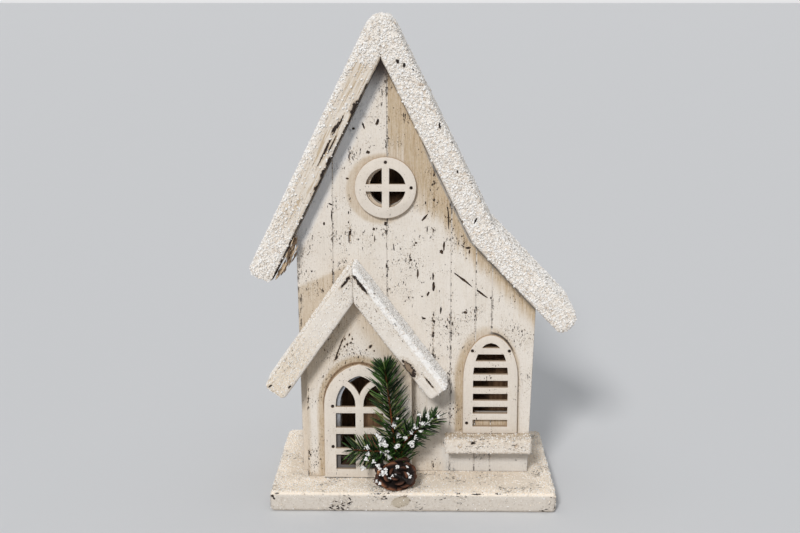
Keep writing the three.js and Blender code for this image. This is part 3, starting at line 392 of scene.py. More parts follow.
class PaintedWood(Finish):
    """Antique cream paint: brushed grain, tan glaze, specks, dark cracks along the grain and chips."""

    def __init__(self, name, lean=0.0, roughness=0.72, front=0.0):
        super().__init__(name, roughness)
        self.front = front
        self.along = self.turned(lean)
        self.lines = self.noise((1.1, 2.2, 26), 3, 0.6, 3.1, self.along)
        self.fibres = self.noise((0.55, 0.8, 7), 2, 0.5, 8.4, self.along)
        self.mottle = self.noise(17, 3, 0.55, 5.2)
        self.grain = self.noise(1.6, 3, 0.65, 1.9)

    def over(self, colour, mask):
        """Lays a colour over the paint where the mask is 1."""
        self.painted = self.mix(self.painted, colour, mask)

    def dropped(self, chips):
        """1 where the paint has dropped off at one of the chips, and how near to one a place is."""
        distances = []
        for x, z, height, breadth, lean in chips:
            inputs = {
                "Vector": self.place,
                "Location": (x, self.front, z),
                "Rotation": (0, math.radians(lean), 0),
                "Scale": (breadth / 2, CHIP_REACH, height / 2),
            }
            mapped = self.node("Mapping", {"vector_type": "TEXTURE"}, inputs)
            distances.append(self.vector("LENGTH", mapped, output=1))
        ragged = self.noise((1.3, 1.3, 2.0), 3, 0.65, 44.0) * 2.2 - 1.1
        edge = least(*distances) + ragged
        return edge.rise(1.12, 0.86), edge.rise(2.0, 1.0)

    def coat(self, stain=None, chips=None, specks=1.0, cracked=None, ground=CREAM):
        """Builds the colour and the relief. Specks crowd where cracked, which runs from 0 to 1, is high."""
        streaks = self.noise((0.7, 0.9, 9), 3, 0.65, 15.5, self.along)
        worn = self.mottle.rise(0.36, 0.7) * 0.3 + self.lines.rise(0.5, 0.72) * 0.3
        worn = worn + self.grain.rise(0.5, 0.68) * 0.45
        self.painted = self.mix(ground, WORN_CREAM, worn.below(1))
        self.over(TAN_GLAZE, streaks.rise(0.56, 0.74) * 0.3)
        if stain is not None:
            broken = self.lines * 0.5 + self.grain * 0.6 + streaks * 0.5 + 0.12
            self.over(TAN_GLAZE, (stain * broken).below(0.9).above(0))
            deep = (stain - 0.35).above(0) * streaks.rise(0.47, 0.68)
            self.over(DEEP_GLAZE, deep.below(0.6))
        bias = self.noise(19, 2, 0.5, 7.7).rise(0.35, 0.7) * 0.08 * specks
        if cracked is not None:
            bias = bias + cracked * 0.11
        tiny = (self.noise((0.8, 0.8, 1.2), 2, 0.6, 12.5, self.along) + bias).rise(0.68, 0.76)
        self.over(DEEP_GLAZE, tiny * 0.7)
        dark = self.noise((1.2, 1.4, 2.8), 2, 0.65, 31.0, self.along)
        self.holes = (dark + bias * 1.1).rise(0.735, 0.775)
        if chips:
            dropped, fringe = self.dropped(chips)
            self.over(DEEP_GLAZE, fringe * 0.55)
            self.holes = self.holes.above(dropped)
        laid_bare = self.noise((0.5, 0.5, 4), 3, 0.6, 71.0, self.along).rise(0.5, 0.7)
        self.over(self.mix(CHIP, CHIP_FIBRE, laid_bare), self.holes)
        self.height = self.lines * 0.2 + self.grain * 0.2 + self.fibres * 0.07
        self.height = self.height - self.holes * 0.35 - tiny * 0.12

    def crowded_planks(self, x, lines):
        """High in broken runs along the plank lines, where the paint has cracked and dropped out."""
        nearest = least(*((x - line).abs() for line in lines))
        runs = self.noise((60, 60, 17), 2, 0.6, 2.6).rise(0.42, 0.6)
        return nearest.rise(1.3, 0.3) * runs * 1.1 + nearest.rise(7, 1) * runs * 0.35

    def bare_inside(self, mask):
        """Shows unpainted wood where the mask is 1, in browns made lighter as painted light for the dim
        inside.
        """
        boards = self.noise((6, 6, 60), 3, 0.6, 21.0)
        self.over(self.mix(BARE_WOOD_SHADE, BARE_WOOD, boards.rise(0.35, 0.65)), mask)

    def settle(self):
        self.colour(self.painted)
        self.relief(self.height)
        return self.material


def above_slope(x, z, slope):
    """How far a place lies above the underside of a roof board. Numbers, arrays and wires all do."""
    angle = math.radians(slope.pitch)
    return (x - slope.corner[0]) * (slope.side * math.sin(angle)) + (z - slope.corner[1]) * math.cos(angle)


def down_slope(x, z, slope):
    """How far a place lies down a roof board from its upper corner."""
    angle = math.radians(slope.pitch)
    return (x - slope.corner[0]) * (slope.side * math.cos(angle)) - (z - slope.corner[1]) * math.sin(angle)


def lean_of(slope):
    """How far the grain of a roof board leans from upright, in degrees."""
    return slope.side * (90 - slope.pitch)


def outside_arch(x, z, arch):
    """How far a place lies outside an arched plate."""
    up = (z - arch.spring).above(0) * (arch.half / arch.rise)
    return root_of_squares(x - arch.middle, up) - arch.half


def house_front_stain(paint, x, z, under_right, arch, soft):
    """Tan glaze under the right roof board, round the plates, left of the porch and at the foot, and tan
    above the porch and right of it.
    """
    runs = paint.noise((2.2, 3, 60), 3, 0.65, 91.0) * 34 - 17
    wider = (z.rise(219, 191) + 0.62) * 1.1
    right_planks = x.rise(PLANK_LINES[1] - 1, PLANK_LINES[1] + 0.8)
    roof_band = (under_right * wider + runs * 0.8 + soft * 0.5).rise(27, 6) * right_planks
    disc = root_of_squares(x - ROUND_WINDOW.x, z - ROUND_WINDOW.z) - ROUND_WINDOW.radius
    lower_left = (ROUND_WINDOW.x - x) * 0.12 + (ROUND_WINDOW.z - z) * 0.05
    halo = (disc - lower_left + soft * 0.25).rise(4.6, 1.4)
    lopsided = arch + (x - LOUVRE.middle) * 0.1 + soft * 0.2
    louvre_ring = lopsided.rise(5.0, 1.2) * z.rise(42, 48) * (1 - z.rise(104, 124) * 0.45)
    slanting = ((z - 157.5) - (x + 84.2) * 0.466 + soft * 0.25).rise(2, -2)
    above_porch = slanting * x.rise(-42, -46) * z.rise(100, 112)
    beside_porch = x.rise(-77, -79.5) * z.rise(125, 110)
    foot = (z + soft).rise(BASE_TOP + 14, BASE_TOP + 1)
    porch_side = (x + 1.2 + soft * 0.4).rise(8, 0) * z.rise(110, 90)
    return most(
        roof_band * 0.95, halo * 0.62, louvre_ring * 0.9, above_porch * 0.62, beside_porch * 0.36,
        foot * 0.35, porch_side * 0.4,
    )


def house_front_finish():
    paint = PaintedWood("house_front_paint")
    x, y, z = paint.axes()
    depth = y - FRONT_WALL_FACE
    face = depth.rise(0.8, 0.3)
    under_left = -above_slope(x, z, MAIN_LEFT)
    under_right = (-above_slope(x, z, MAIN_RIGHT)).above(-above_slope(x, z, MAIN_EAVE))
    arch = outside_arch(x, z, LOUVRE)
    soft = paint.mottle * 14 - 7
    stain = house_front_stain(paint, x, z, under_right, arch, soft) * face
    paint.coat(stain, specks=1.45, cracked=paint.crowded_planks(x, PLANK_LINES + SPLIT_LINES))

    groove = depth.rise(0.08, 0.35) * depth.rise(1.4, 1)
    scratched = paint.noise((40, 40, 3.2), 3, 0.7, 23.0).rise(0.53, 0.62)
    # Painted light: clean cream in the plank grooves lightens the shade there; the dark scratches along
    # them are cracks.
    paint.over(CREAM, groove * 0.9)
    paint.over(CHIP, groove * scratched * 0.85)

    # Painted shadow: a grey-blue wash on the wall face under the left roof board.
    paint.over(PAINTED_SHADOW_BLUE, (under_left + soft * 0.2).rise(11, 5) * face * 0.8)
    paint.over(SILL_SHADOW, z.rise(34.5, 33.5) * x.rise(18, 26) * face * 0.6)
    # Painted shadow: a grey band on the wall just under the right roof board.
    paint.over(PAINTED_EAVE_SHADOW, under_right.rise(2.9, 1.7) * x.rise(4, 12) * 0.75)
    # Painted shade: dark in the gap under the right roof board and along the top of the louvre plate's
    # arch.
    roof_gap_shade = under_right.rise(1.5, 0.6) * paint.noise((3, 3, 9), 3, 0.6, 57.0).rise(0.4, 0.55)
    louvre_gap_shade = arch.rise(1.1, 0.6) * x.rise(LOUVRE.middle - 3, LOUVRE.middle + 3) * z.rise(106, 112)
    paint.over(CHIP, roof_gap_shade.above(louvre_gap_shade) * 0.85)

    off_floor = (depth - CHIP_DEPTH).abs()
    fibres = paint.noise((0.6, 0.6, 5), 3, 0.6, 29.0).rise(0.45, 0.7)
    paint.over(paint.mix(CHIP, CHIP_FLOOR_FIBRE, fibres), off_floor.rise(0.12, 0.04))
    # Painted shade: dark brown high in the apex, under the left roof board.
    paint.over(PAINTED_APEX_SHADE, z.rise(297, 319) * under_left.rise(20, 9) * 0.9)
    from_edge = x - WALL_FOOT_LEFT - (z - BASE_TOP) * WALL_LEAN_LEFT
    edge = from_edge.rise(1.6, 0.6) * z.rise(118, 124) * z.rise(176, 168)
    paint.over(CHIP, edge * paint.noise((2, 2, 5), 3, 0.6, 37.0).rise(0.48, 0.6) * 0.8)
    paint.bare_inside(y.rise(FRONT_WALL_INSIDE - 1.2, FRONT_WALL_INSIDE - 0.4))
    return paint.settle()


def porch_finish():
    paint = PaintedWood("porch_paint", front=PORCH_FACE)
    x, y, z = paint.axes()
    face = y.rise(PORCH_FACE + 0.8, PORCH_FACE + 0.3)
    soft = paint.mottle * 12 - 6
    arch = outside_arch(x, z, DOOR)
    ring = (arch + soft * 0.2).rise(6.4, 2.8)
    under_roof = (-above_slope(x, z, PORCH_LEFT)).below(-above_slope(x, z, PORCH_RIGHT))
    under = (under_roof + soft).rise(22, 4)
    edge = (x - PORCH_LEFT_EDGE).rise(3.5, 0.5)
    foot = (z + soft).rise(BASE_TOP + 5, BASE_TOP)
    stain = most(ring * 0.85, under * 0.6, edge * 0.5, foot * 0.5) * face
    paint.coat(stain, PORCH_CHIPS, 1.6, paint.crowded_planks(x, [PORCH_LEFT_EDGE + 0.6]))
    # Painted shade: a dark line hugging the door plate's arch, in the gap between plate and porch.
    door_gap_shade = (arch.abs() - 0.4).rise(0.7, 0.1) * face * z.rise(60, 70)
    paint.over(PAINTED_DOOR_GAP_SHADE, door_gap_shade * 0.8)
    # Painted shade: behind the door plate's openings the porch face and the sides of its wells are
    # grey-blue, darker lower down; faces that look up or down show brown wood.
    reveal_shade_and_wood = paint.mix(PAINTED_REVEAL_SHADE, PAINTED_LOW_REVEAL_SHADE, z.rise(66, 52))
    reveal_shade_and_wood = paint.mix(reveal_shade_and_wood, REVEAL_WOOD, paint.facing(2).abs().rise(0.4, 0.7))
    paint.over(reveal_shade_and_wood, arch.rise(-1, -2.2))
    return paint.settle()


def plate_finish():
    paint = PaintedWood("plate_paint", roughness=0.6)
    z = paint.axes()[2]
    paint.coat(specks=0.95, ground=PLATE_CREAM)
    # The plates' side edges: brown glaze, and painted shade of the gap between plate and wall.
    rim = (paint.facing(1).abs() + paint.grain * 0.3).rise(1.02, 0.72)
    paint.over(PLATE_EDGE_GLAZE_AND_SHADE, rim * 0.75)
    # Painted shade: a dark line along the plates' foot, where they meet the base.
    foot = (z + paint.grain * 0.7).rise(BASE_TOP + 1.4, BASE_TOP + 0.9)
    paint.over(CHIP, foot * 0.85)
    paint.height = paint.lines * 0.08 + paint.grain * 0.08 - paint.holes * 0.2
    return paint.settle()


def shell_finish(name, axis, sign):
    """The side and back walls: painted outside and bare where they face inward, along an axis."""
    paint = PaintedWood(name)
    z = paint.axes()[2]
    foot = (z + paint.mottle * 14 - 7).rise(BASE_TOP + 16, BASE_TOP + 2)
    paint.coat(most(foot * 0.8, paint.mottle.rise(0.5, 0.8) * 0.22), specks=0.8)
    paint.bare_inside((paint.facing(axis, "True Normal") * sign).rise(0.5, 0.8))
    return paint.settle()


def grit_finish(
    name, lean, stain=None, chips=None, bed=GRIT_BED, shade=GRIT_SHADE, marks=None, specks=0.7,
):
    """Paint under snow grit. The piece says how gritty each place is and which faces are grains."""
    paint = PaintedWood(name + "_finish", lean, front=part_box(name)[0][1] / MM)
    x, y, z = paint.axes()
    paint.coat(stain(paint, x, y, z) if stain else None, chips, specks)
    amount = paint.attribute("grit")
    tone = paint.attribute("tone")
    pits = paint.noise(2.6, 2, 0.5, 61.0).rise(0.48, 0.7)
    paint.over(paint.mix(bed, GRIT_PIT, pits * 0.5), amount.rise(0.2, 0.85))
    paint.over(CHIP, paint.holes)
    if marks:
        paint.over(*marks(paint, x, y, z))
    crystals = paint.mix(shade, SNOW, tone.rise(0.05, 0.6))
    crystals = paint.mix(crystals, GRIT_PIT, tone.rise(0.965, 0.99) * 0.7)
    if chips:
        crystals = paint.mix(crystals, CHIP, paint.dropped(chips)[0])
    paint.over(crystals, tone.rise(-0.5, -0.2))
    return paint.settle()


def plain_finish(name, light, dark, size, relief, roughness, metallic=0.0):
    """Two tones in a pattern of one size, for small pieces."""
    finish = Finish(name, roughness, metallic)
    pattern = finish.noise(size, 3, 0.6, 4.0)
    finish.colour(finish.mix(dark, light, pattern.rise(0.35, 0.65)))
    finish.relief(pattern * relief)
    return finish.material


# Working on pieces

def take_up(piece):
    bpy.ops.object.select_all(action="DESELECT")
    piece.select_set(True)
    bpy.context.view_layer.objects.active = piece


def put_away(piece):
    mesh = piece.data
    bpy.data.objects.remove(piece)
    bpy.data.meshes.remove(mesh)


def apply_modifiers(piece):
    take_up(piece)
    for modifier in list(piece.modifiers):
        bpy.ops.object.modifier_apply(modifier=modifier.name)


def copy_of(node, name):
    """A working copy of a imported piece, with its corners merged and its flat faces whole."""
    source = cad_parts[node]
    piece = bpy.data.objects.new(name, source.data.copy())
    bpy.context.scene.collection.objects.link(piece)
    piece.data.materials.clear()
    take_up(piece)
    bpy.ops.object.mode_set(mode="EDIT")
    bpy.ops.mesh.select_all(action="SELECT")
    bpy.ops.mesh.remove_doubles(threshold=0.01 * MM)
    bpy.ops.mesh.dissolve_limited(angle_limit=math.radians(0.5))
    bpy.ops.object.mode_set(mode="OBJECT")
    return piece


def finish_piece(piece, material, slot, *nodes):
    """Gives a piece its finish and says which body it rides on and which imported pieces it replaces."""
    piece.data.materials.clear()
    piece.data.materials.append(material)
    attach(piece, "root")
    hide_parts(*nodes)


def shape_of(piece):
    """The corners and faces of a modelled shape, which is then put away."""
    corners = np.array([v.co for v in piece.data.vertices])
    faces = [list(f.vertices) for f in piece.data.polygons]
    put_away(piece)
    return corners, faces


def store(piece, name, values):
    attribute = piece.data.attributes.new(name, "FLOAT", "POINT")
    attribute.data.foreach_set("value", np.asarray(values, np.float32))


def gathered(name, shapes):
    """One piece from many placed shapes, each with its tones in the attribute 'tone'."""
    corners, faces, tones, start = [], [], [], 0
    for places, polygons, tone in shapes:
        corners.append(places)
        faces.extend([i + start for i in polygon] for polygon in polygons)
        tones.append(np.broadcast_to(tone, len(places)))
        start += len(places)
    mesh = bpy.data.meshes.new(name)
    mesh.from_pydata(np.concatenate(corners).tolist(), [], faces)
    piece = bpy.data.objects.new(name, mesh)
    bpy.context.scene.collection.objects.link(piece)
    store(piece, "tone", np.concatenate(tones))
    take_up(piece)
    bpy.ops.object.shade_smooth()
    return piece


def moved(corners, matrix):
    array = np.array(matrix)
    return corners @ array[:3, :3].T + array[:3, 3]


def blended(values, low, high):
    """0 at low and 1 at high, smoothly, for numbers and arrays."""
    share = np.clip((values - low) / (high - low), 0, 1)
    return share * share * (3 - 2 * share)


def even_skin(piece, face, sway):
    """Gives a board a skin of small even faces that waves a little, as sawn wood does."""
    wave_size = 9
    remesh = piece.modifiers.new("even_skin", "REMESH")
    remesh.mode = "VOXEL"
    remesh.voxel_size = face * MM
    waves = bpy.data.textures.new("hand_sawn", "CLOUDS")
    waves.noise_scale = wave_size * MM
    displace = piece.modifiers.new("waves", "DISPLACE")
    displace.texture = waves
    displace.texture_coords = "LOCAL"
    displace.strength = sway * MM
    displace.mid_level = 0.5
    apply_modifiers(piece)
    return piece


def grain_shape():
    """An angular crystal of ten faces: a five-sided point drawn out both ways."""
    bpy.ops.mesh.primitive_cone_add(
        vertices=5, radius1=1, depth=1, end_fill_type="NOTHING", location=(0, 0, 0.5),
    )
    bpy.ops.object.mode_set(mode="EDIT")
    bpy.ops.mesh.select_all(action="DESELECT")
    bpy.ops.mesh.select_non_manifold()
    bpy.ops.mesh.extrude_region_move(TRANSFORM_OT_translate={"value": (0, 0, -0.9)})
    bpy.ops.mesh.merge(type="CENTER")
    bpy.ops.mesh.select_all(action="SELECT")
    bpy.ops.mesh.normals_make_consistent(inside=False)
    bpy.ops.object.mode_set(mode="OBJECT")
    bpy.ops.object.transform_apply(location=True)
    return shape_of(bpy.context.object)


def strewn(piece, weight, density, smallest, largest, seed):
    """Strews grains of snow grit over a board, density times weight on each square millimetre."""
    mesh = piece.data
    mesh.calc_loop_triangles()
    corners = np.zeros(len(mesh.vertices) * 3)
    mesh.vertices.foreach_get("co", corners)
    corners = corners.reshape(-1, 3)
    triangles = np.zeros(len(mesh.loop_triangles) * 3, np.int32)
    mesh.loop_triangles.foreach_get("vertices", triangles)
    a, b, c = corners[triangles.reshape(-1, 3)].transpose(1, 0, 2)
    across = np.cross(b - a, c - a)
    areas = np.linalg.norm(across, axis=1) / 2
    normals = across / np.maximum(2 * areas, 1e-12)[:, None]
    shares = areas * np.clip(weight(*((a + b + c) / 3 / MM).T), 0, 1)

    dice = np.random.default_rng(seed)
    count = int(shares.sum() / MM ** 2 * density)
    picks = dice.choice(len(areas), count, p=shares / shares.sum())
    u, v = dice.random((2, count))
    over = u + v > 1
    u[over], v[over] = 1 - u[over], 1 - v[over]
    roots = a[picks] + (b - a)[picks] * u[:, None] + (c - a)[picks] * v[:, None]
    radii = (smallest + (largest - smallest) * dice.random(count) ** 1.7) / 2 * MM
    stretch = dice.uniform(0.8, 1.25, (count, 3)) * radii[:, None]
    turns = np.linalg.qr(dice.normal(size=(count, 3, 3)))[0]
    turns[np.linalg.det(turns) < 0] *= -1
    shape, faces = grain_shape()
    grains = np.einsum("nij,nkj->nki", turns, shape[None] * stretch[:, None])
    grains += (roots + normals[picks] * radii[:, None] * 0.35)[:, None]
    start = len(corners) + np.arange(count)[:, None, None] * len(shape)
    grain_faces = (np.array(faces)[None] + start).reshape(-1, 3)

    body = [list(polygon.vertices) for polygon in mesh.polygons]
    whole = bpy.data.meshes.new(piece.name)
    places = np.concatenate([corners, grains.reshape(-1, 3)])
    whole.from_pydata(places.tolist(), [], body + grain_faces.tolist())
    smooth = np.zeros(len(whole.polygons), bool)
    smooth[:len(body)] = True
    whole.polygons.foreach_set("use_smooth", smooth)
    piece.data = whole
    amounts = np.clip(weight(*(corners / MM).T), 0, 1)
    tones = np.repeat(dice.random(count), len(shape))
    store(piece, "grit", np.concatenate([amounts, np.ones(len(tones))]))
    store(piece, "tone", np.concatenate([np.full(len(corners), -1.0), tones]))


# Roof boards, base and sill

def dress_main_roof():
    def shown(y):
        """The front and the slopes carry the most grit, the back the least."""
        return 0.42 + 0.58 * blended(-y, 22, 38)

    def left_weight(x, y, z):
        lift, down = above_slope(x, z, MAIN_LEFT), down_slope(x, z, MAIN_LEFT)
        front = blended(-y, 38.5, 40)
        near_ends = np.maximum(blended(down, 95, 165), blended(down, 14, 4)) * 0.8
        face = np.maximum.reduce([blended(lift, 12.5, 18), near_ends, np.full_like(down, 0.10)])
        return (face * front + blended(lift, 9, 16) * shown(y) * (1 - front)) * blended(lift, 0.3, 2.5)

    def right_weight(x, y, z):
        return blended(above_slope(x, z, MAIN_RIGHT), 0.3, 2) * shown(y)

    def eave_weight(x, y, z):
        return blended(above_slope(x, z, MAIN_EAVE), 0.3, 2) * shown(y)

    def left_stain(paint, x, y, z):
        return paint.lines.rise(0.46, 0.66) * 0.8 + 0.15

    def left_marks(paint, x, y, z):
        """A dark line along the inner edge of the board's front face."""
        depth = paint.grain * 1.6 - above_slope(x, z, MAIN_LEFT)
        return CHIP, depth.rise(-0.8, 0.1) * y.rise(-37, -38.5) * z.rise(312, 300)

    boards = (
        ("main_roof_left_board", MAIN_LEFT, left_weight, left_stain, LEFT_BOARD_CHIPS, left_marks),
        ("main_roof_right_board", MAIN_RIGHT, right_weight, None, RIGHT_BOARD_CHIPS, None),
        ("main_roof_eave_board", MAIN_EAVE, eave_weight, None, None, None),
    )
    for seed, (name, slope, weight, stain, chips, marks) in enumerate(boards):
        piece = even_skin(copy_of(name, name + "_snowy"), face=1.3, sway=0.7)
        strewn(piece, weight, density=1.0, smallest=0.9, largest=2.3, seed=seed)
        finish = grit_finish(name, lean_of(slope), stain, chips, marks=marks)
        finish_piece(piece, finish, "snowy_wood", name)


def torn_edge():
    """Splinters of bare wood that hang from the low inner edge of the left roof board."""
    # The edge in the front view: its top, its run down to its foot, and the way off it
    top_x, top_z = -84.6, 196.0
    run_x, run_z = -13.6, -29.8
    away_x, away_z = 0.91, -0.415
    splinters = 64
    chance = random.Random(12)
    splinter, faces = grain_shape()
    shapes = []
    for number in range(splinters):
        share = chance.uniform(0.03, 0.97)
        out = chance.random() * 6.2 * math.sin(math.pi * share ** 0.8) - 1.8
        y = chance.uniform(-39.0, -30.0)
        spot = np.array((top_x + run_x * share + away_x * out, y, top_z + run_z * share + away_z * out))
        turn = Matrix.Rotation(math.radians(24.5 + chance.uniform(-7, 7)), 4, "Y")
        size = (chance.uniform(0.5, 1.1), chance.uniform(0.5, 1.2), chance.uniform(2.5, 5.5))
        shapes.append(((moved(splinter * size, turn) + spot) * MM, faces, chance.random()))
    piece = gathered("torn_edge", shapes)
    bpy.ops.object.shade_flat()
    finish = Finish("torn_wood", 0.85)
    tone = finish.attribute("tone")
    finish.colour(finish.mix(tint(104, 84, 66), tint(198, 174, 144), tone.rise(0.2, 0.9)))
    finish_piece(piece, finish.material, "bare_wood")


def dress_porch_roof():
    def left_weight(x, y, z):
        lift, down = above_slope(x, z, PORCH_LEFT), down_slope(x, z, PORCH_LEFT)
        on_face = 0.22 + 0.55 * blended(down, 20, 70)
        return np.maximum(blended(lift, 14, 17) * 0.5, on_face * blended(lift, 0.5, 3))

    def right_weight(x, y, z):
        return np.maximum(blended(above_slope(x, z, PORCH_RIGHT), 11, 14) * 0.85, 0.06)

    def right_marks(paint, x, y, z):
        return GREYED_WOOD, paint.dropped([LARGE_CHIP_MIDDLE])[0]

    boards = (
        ("porch_roof_left_board", PORCH_LEFT, left_weight, PORCH_LEFT_CHIPS, WARM_BED, None),
        ("porch_roof_right_board", PORCH_RIGHT, right_weight, PORCH_RIGHT_CHIPS, SNOW, right_marks),
    )
    for seed, (name, slope, weight, chips, bed, marks) in enumerate(boards, 10):
        piece = even_skin(copy_of(name, name + "_snowy"), face=0.9, sway=0.5)
        strewn(piece, weight, density=1.3, smallest=0.6, largest=1.2, seed=seed)
        finish = grit_finish(name, lean_of(slope), None, chips, bed, bed, marks, specks=1.3)
        finish_piece(piece, finish, "snowy_wood", name)


def dress_base():
    patch_x, patch_z = -8.9, 8.0

    def weight(x, y, z):
        to_edge = np.minimum(BASE_HALF_WIDTH - np.abs(x), BASE_HALF_DEPTH + y)
        top = blended(z, BASE_TOP - 2.5, BASE_TOP - 0.5)
        rim = np.maximum(blended(-to_edge, -17, -6), blended(x, 88, 95))
        left = blended(-x, 20, 60) * blended(-y, 30, 45)
        on_top = np.maximum.reduce([rim, left, np.full_like(x, 0.3)])
        return top * on_top * 0.8 + (1 - top) * 0.1 * blended(z, 0.5, 2)

    def stain(paint, x, y, z):
        soft = paint.mottle * 16 - 8
        on_top = z.rise(BASE_TOP - 3, BASE_TOP - 1)
        near_wall = (y + soft * 0.5).rise(-56, -44) * on_top
        right = x.rise(-5, 20) * (y + soft * 0.5).rise(-66, -56) * on_top
        beside = x.rise(-80, -86) * (y + soft).rise(-44, -30) * on_top
        return most(near_wall * 0.3, right * 0.25, beside * 0.8, z.rise(2.0, 0.2) * 0.9)

    def marks(paint, x, y, z):
        """Freckled paint, darker below the top as painted shade and lighter on the top as painted light, a
        ragged worn patch on the front face, and the chips.
        """
        across = (x - patch_x) * (1 / 7.2)
        up = (z - patch_z - (x - patch_x) * 0.18) * (1 / 4.6)
        away = root_of_squares(across, up) + paint.grain * 1.2 - 0.6
        rim = away.rise(0.62, 0.9) * paint.noise(2.4, 3, 0.6, 83.0).rise(0.45, 0.6)
        patch = away.rise(1.05, 0.92) * y.rise(-66, -67.5)
        dropped = paint.dropped(BASE_CHIPS)[0]
        freckles = paint.grain.rise(0.48, 0.68) * 0.6
        # Painted shade: the faces below the top duller and darker; painted light: the top lighter.
        colour = paint.mix(tint(198, 189, 178), tint(170, 156, 140), freckles)
        colour = paint.mix(colour, tint(247, 233, 215), z.rise(BASE_TOP - 2.5, BASE_TOP - 0.5))
        colour = paint.mix(colour, paint.mix(tint(180, 168, 150), tint(104, 88, 70), rim), patch)
        return paint.mix(colour, CHIP, dropped), most(patch, dropped, 0.75 - paint.holes)

    piece = even_skin(copy_of("base_board", "base_board_snowy"), face=1.8, sway=0.5)
    strewn(piece, weight, density=0.8, smallest=0.5, largest=1.25, seed=20)
    finish = grit_finish("base_board", 90, stain, None, PAINTED_LIGHT_BASE_BED, BASE_SHADE, marks, specks=2.1)
    finish_piece(piece, finish, "snowy_wood", "base_board")


def dress_sill():
    def weight(x, y, z):
        return 0.35 + 0.35 * blended(z, 38, 46) * blended(-y, 34, 41)

    def stain(paint, x, y, z):
        return z.rise(44.5, 45.6) * 0.8

    piece = even_skin(copy_of("window_sill", "window_sill_snowy"), face=0.8, sway=0.4)
    strewn(piece, weight, density=1.0, smallest=0.5, largest=1.2, seed=30)
    finish = grit_finish("window_sill", 90, stain, SILL_CHIPS, SILL_BED, SILL_SHADE, specks=1.7)
    finish_piece(piece, finish, "snowy_wood", "window_sill")


# Walls and plates

def dress_plates():
    paint = plate_finish()
    for name in ("door_tracery", "round_window", "louvre_window"):
        piece = copy_of(name, name + "_plate")
        bevel = piece.modifiers.new("soft_paint_edges", "BEVEL")
        bevel.width = 0.4 * MM
        bevel.segments = 3
        bevel.limit_method = "ANGLE"
        bevel.angle_limit = math.radians(60)
        apply_modifiers(piece)
        bpy.ops.object.shade_smooth_by_angle(angle=math.radians(35))
        finish_piece(piece, paint, "painted_wood", name)


def ragged_plug(x, z, height, breadth, lean, chance):
    """A thin ragged plug that reaches from just before the front wall to the depth of a chip."""
    turn = math.radians(lean)
    sides = 14
    ring = []
    for k in range(sides):
        angle = 2 * math.pi * k / sides
        reach = chance.uniform(0.7, 1.2) / 2
        across, up = breadth * reach * math.cos(angle), height * reach * math.sin(angle)
        right = across * math.cos(turn) + up * math.sin(turn)
        rise = up * math.cos(turn) - across * math.sin(turn)
        ring.append((x + right, z + rise))
    corners = [(u, y, w) for y in (FRONT_WALL_FACE - 1, FRONT_WALL_FACE + CHIP_DEPTH) for u, w in ring]
    faces = [list(range(sides)), list(range(2 * sides - 1, sides - 1, -1))]
    faces += [[(k + 1) % sides, k, k + sides, (k + 1) % sides + sides] for k in range(sides)]
    return np.array(corners) * MM, faces, 0.0


def dress_front_wall():
    """Cuts the places where paint has dropped out of a copy of the front wall."""
    chance = random.Random(8)
    plugs = gathered("chip_plugs", [ragged_plug(*chip, chance) for chip in FACADE_CHIPS])
    piece = copy_of("front_wall", "front_wall_chipped")
    cut = piece.modifiers.new("dropped_paint", "BOOLEAN")
    cut.operation = "DIFFERENCE"
    cut.solver = "EXACT"
    cut.use_self = True
    cut.object = plugs
    apply_modifiers(piece)
    put_away(plugs)
    finish_piece(piece, house_front_finish(), "painted_wood", "front_wall")


def dress_cad_nodes():
    """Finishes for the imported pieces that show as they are."""
    walls = {
        "porch_front": porch_finish(),
        "left_wall": shell_finish("left_wall_paint", 0, 1),
        "right_wall": shell_finish("right_wall_paint", 0, -1),
        "back_wall": shell_finish("back_wall_paint", 1, -1),
    }
    bare = plain_finish("bare_softwood", tint(158, 128, 92), tint(116, 88, 60), (3, 3, 24), 0.15, 0.8)
    rusty = plain_finish("dark_steel_wire", tint(70, 60, 54), tint(36, 27, 22), 1.2, 0.05, 0.55, 0.6)
    painted = plain_finish("painted_nail_heads", tint(224, 216, 205), tint(176, 150, 120), 1.1, 0.1, 0.8)
    glue = plain_finish("set_glue", tint(214, 204, 182), tint(190, 176, 148), 4, 0.1, 0.35)
    small = {"glue_block": bare, "glue_pad": glue, "nail": painted, "brad": rusty, "screw": rusty}
    finishes = {**walls, **small}
    for name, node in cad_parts.items():
        fitting = [finish for word, finish in finishes.items() if word in name]
        if fitting:
            node.data.materials.clear()
            node.data.materials.append(fitting[0])


# Pine sprig, its snow and the cone

SPRIG_X = -12.8
STEM_FOOT = 15.7
STEM_BACK = DOOR_FACE - 1.9
STEM_RADIUS = 0.8
STEM_STEPS = 120
NEEDLE_GIRTH = 1.15

# A branch starts as far right of SPRIG_X as foot says. It leans right, rises and reaches forward, and
# each point of its route has a share of lean, rise and reach. Then come the number of its needles,
# their length, the share by which they are shorter at the tip, their slant from the stem in degrees,
# the share by which the slant closes at the tip, and the share of the stem that is bare.
Branch = namedtuple("Branch", "foot lean rise reach route needles length taper slant closing bare")
BRANCHES = {
    "sprig_main_branch": Branch(
        foot=0, lean=-8, rise=87.6, reach=7,
        route=((0, 0, 0), (0.1, 0.27, 0.07), (0.48, 0.62, 0.95), (0.85, 0.9, 1.08), (1, 1, 1)),
        needles=230, length=20.5, taper=0.58, slant=50, closing=0.42, bare=0.1,
    ),
    "sprig_left_branch": Branch(
        foot=-3.8, lean=-27.5, rise=25, reach=9,
        route=((0, 0, 0), (0.08, 0.74, 0.04), (0.42, 0.92, 0.65), (1, 1, 1)),
        needles=105, length=16.0, taper=0.15, slant=62, closing=0.2, bare=0.2,
    ),
    "sprig_right_branch": Branch(
        foot=3.8, lean=23.6, rise=48.8, reach=8,
        route=((0, 0, 0), (0.05, 0.48, 0.04), (0.4, 0.76, 0.75), (1, 1, 1)),
        needles=165, length=16.5, taper=0.3, slant=55, closing=0.45, bare=0.12,
    ),
}
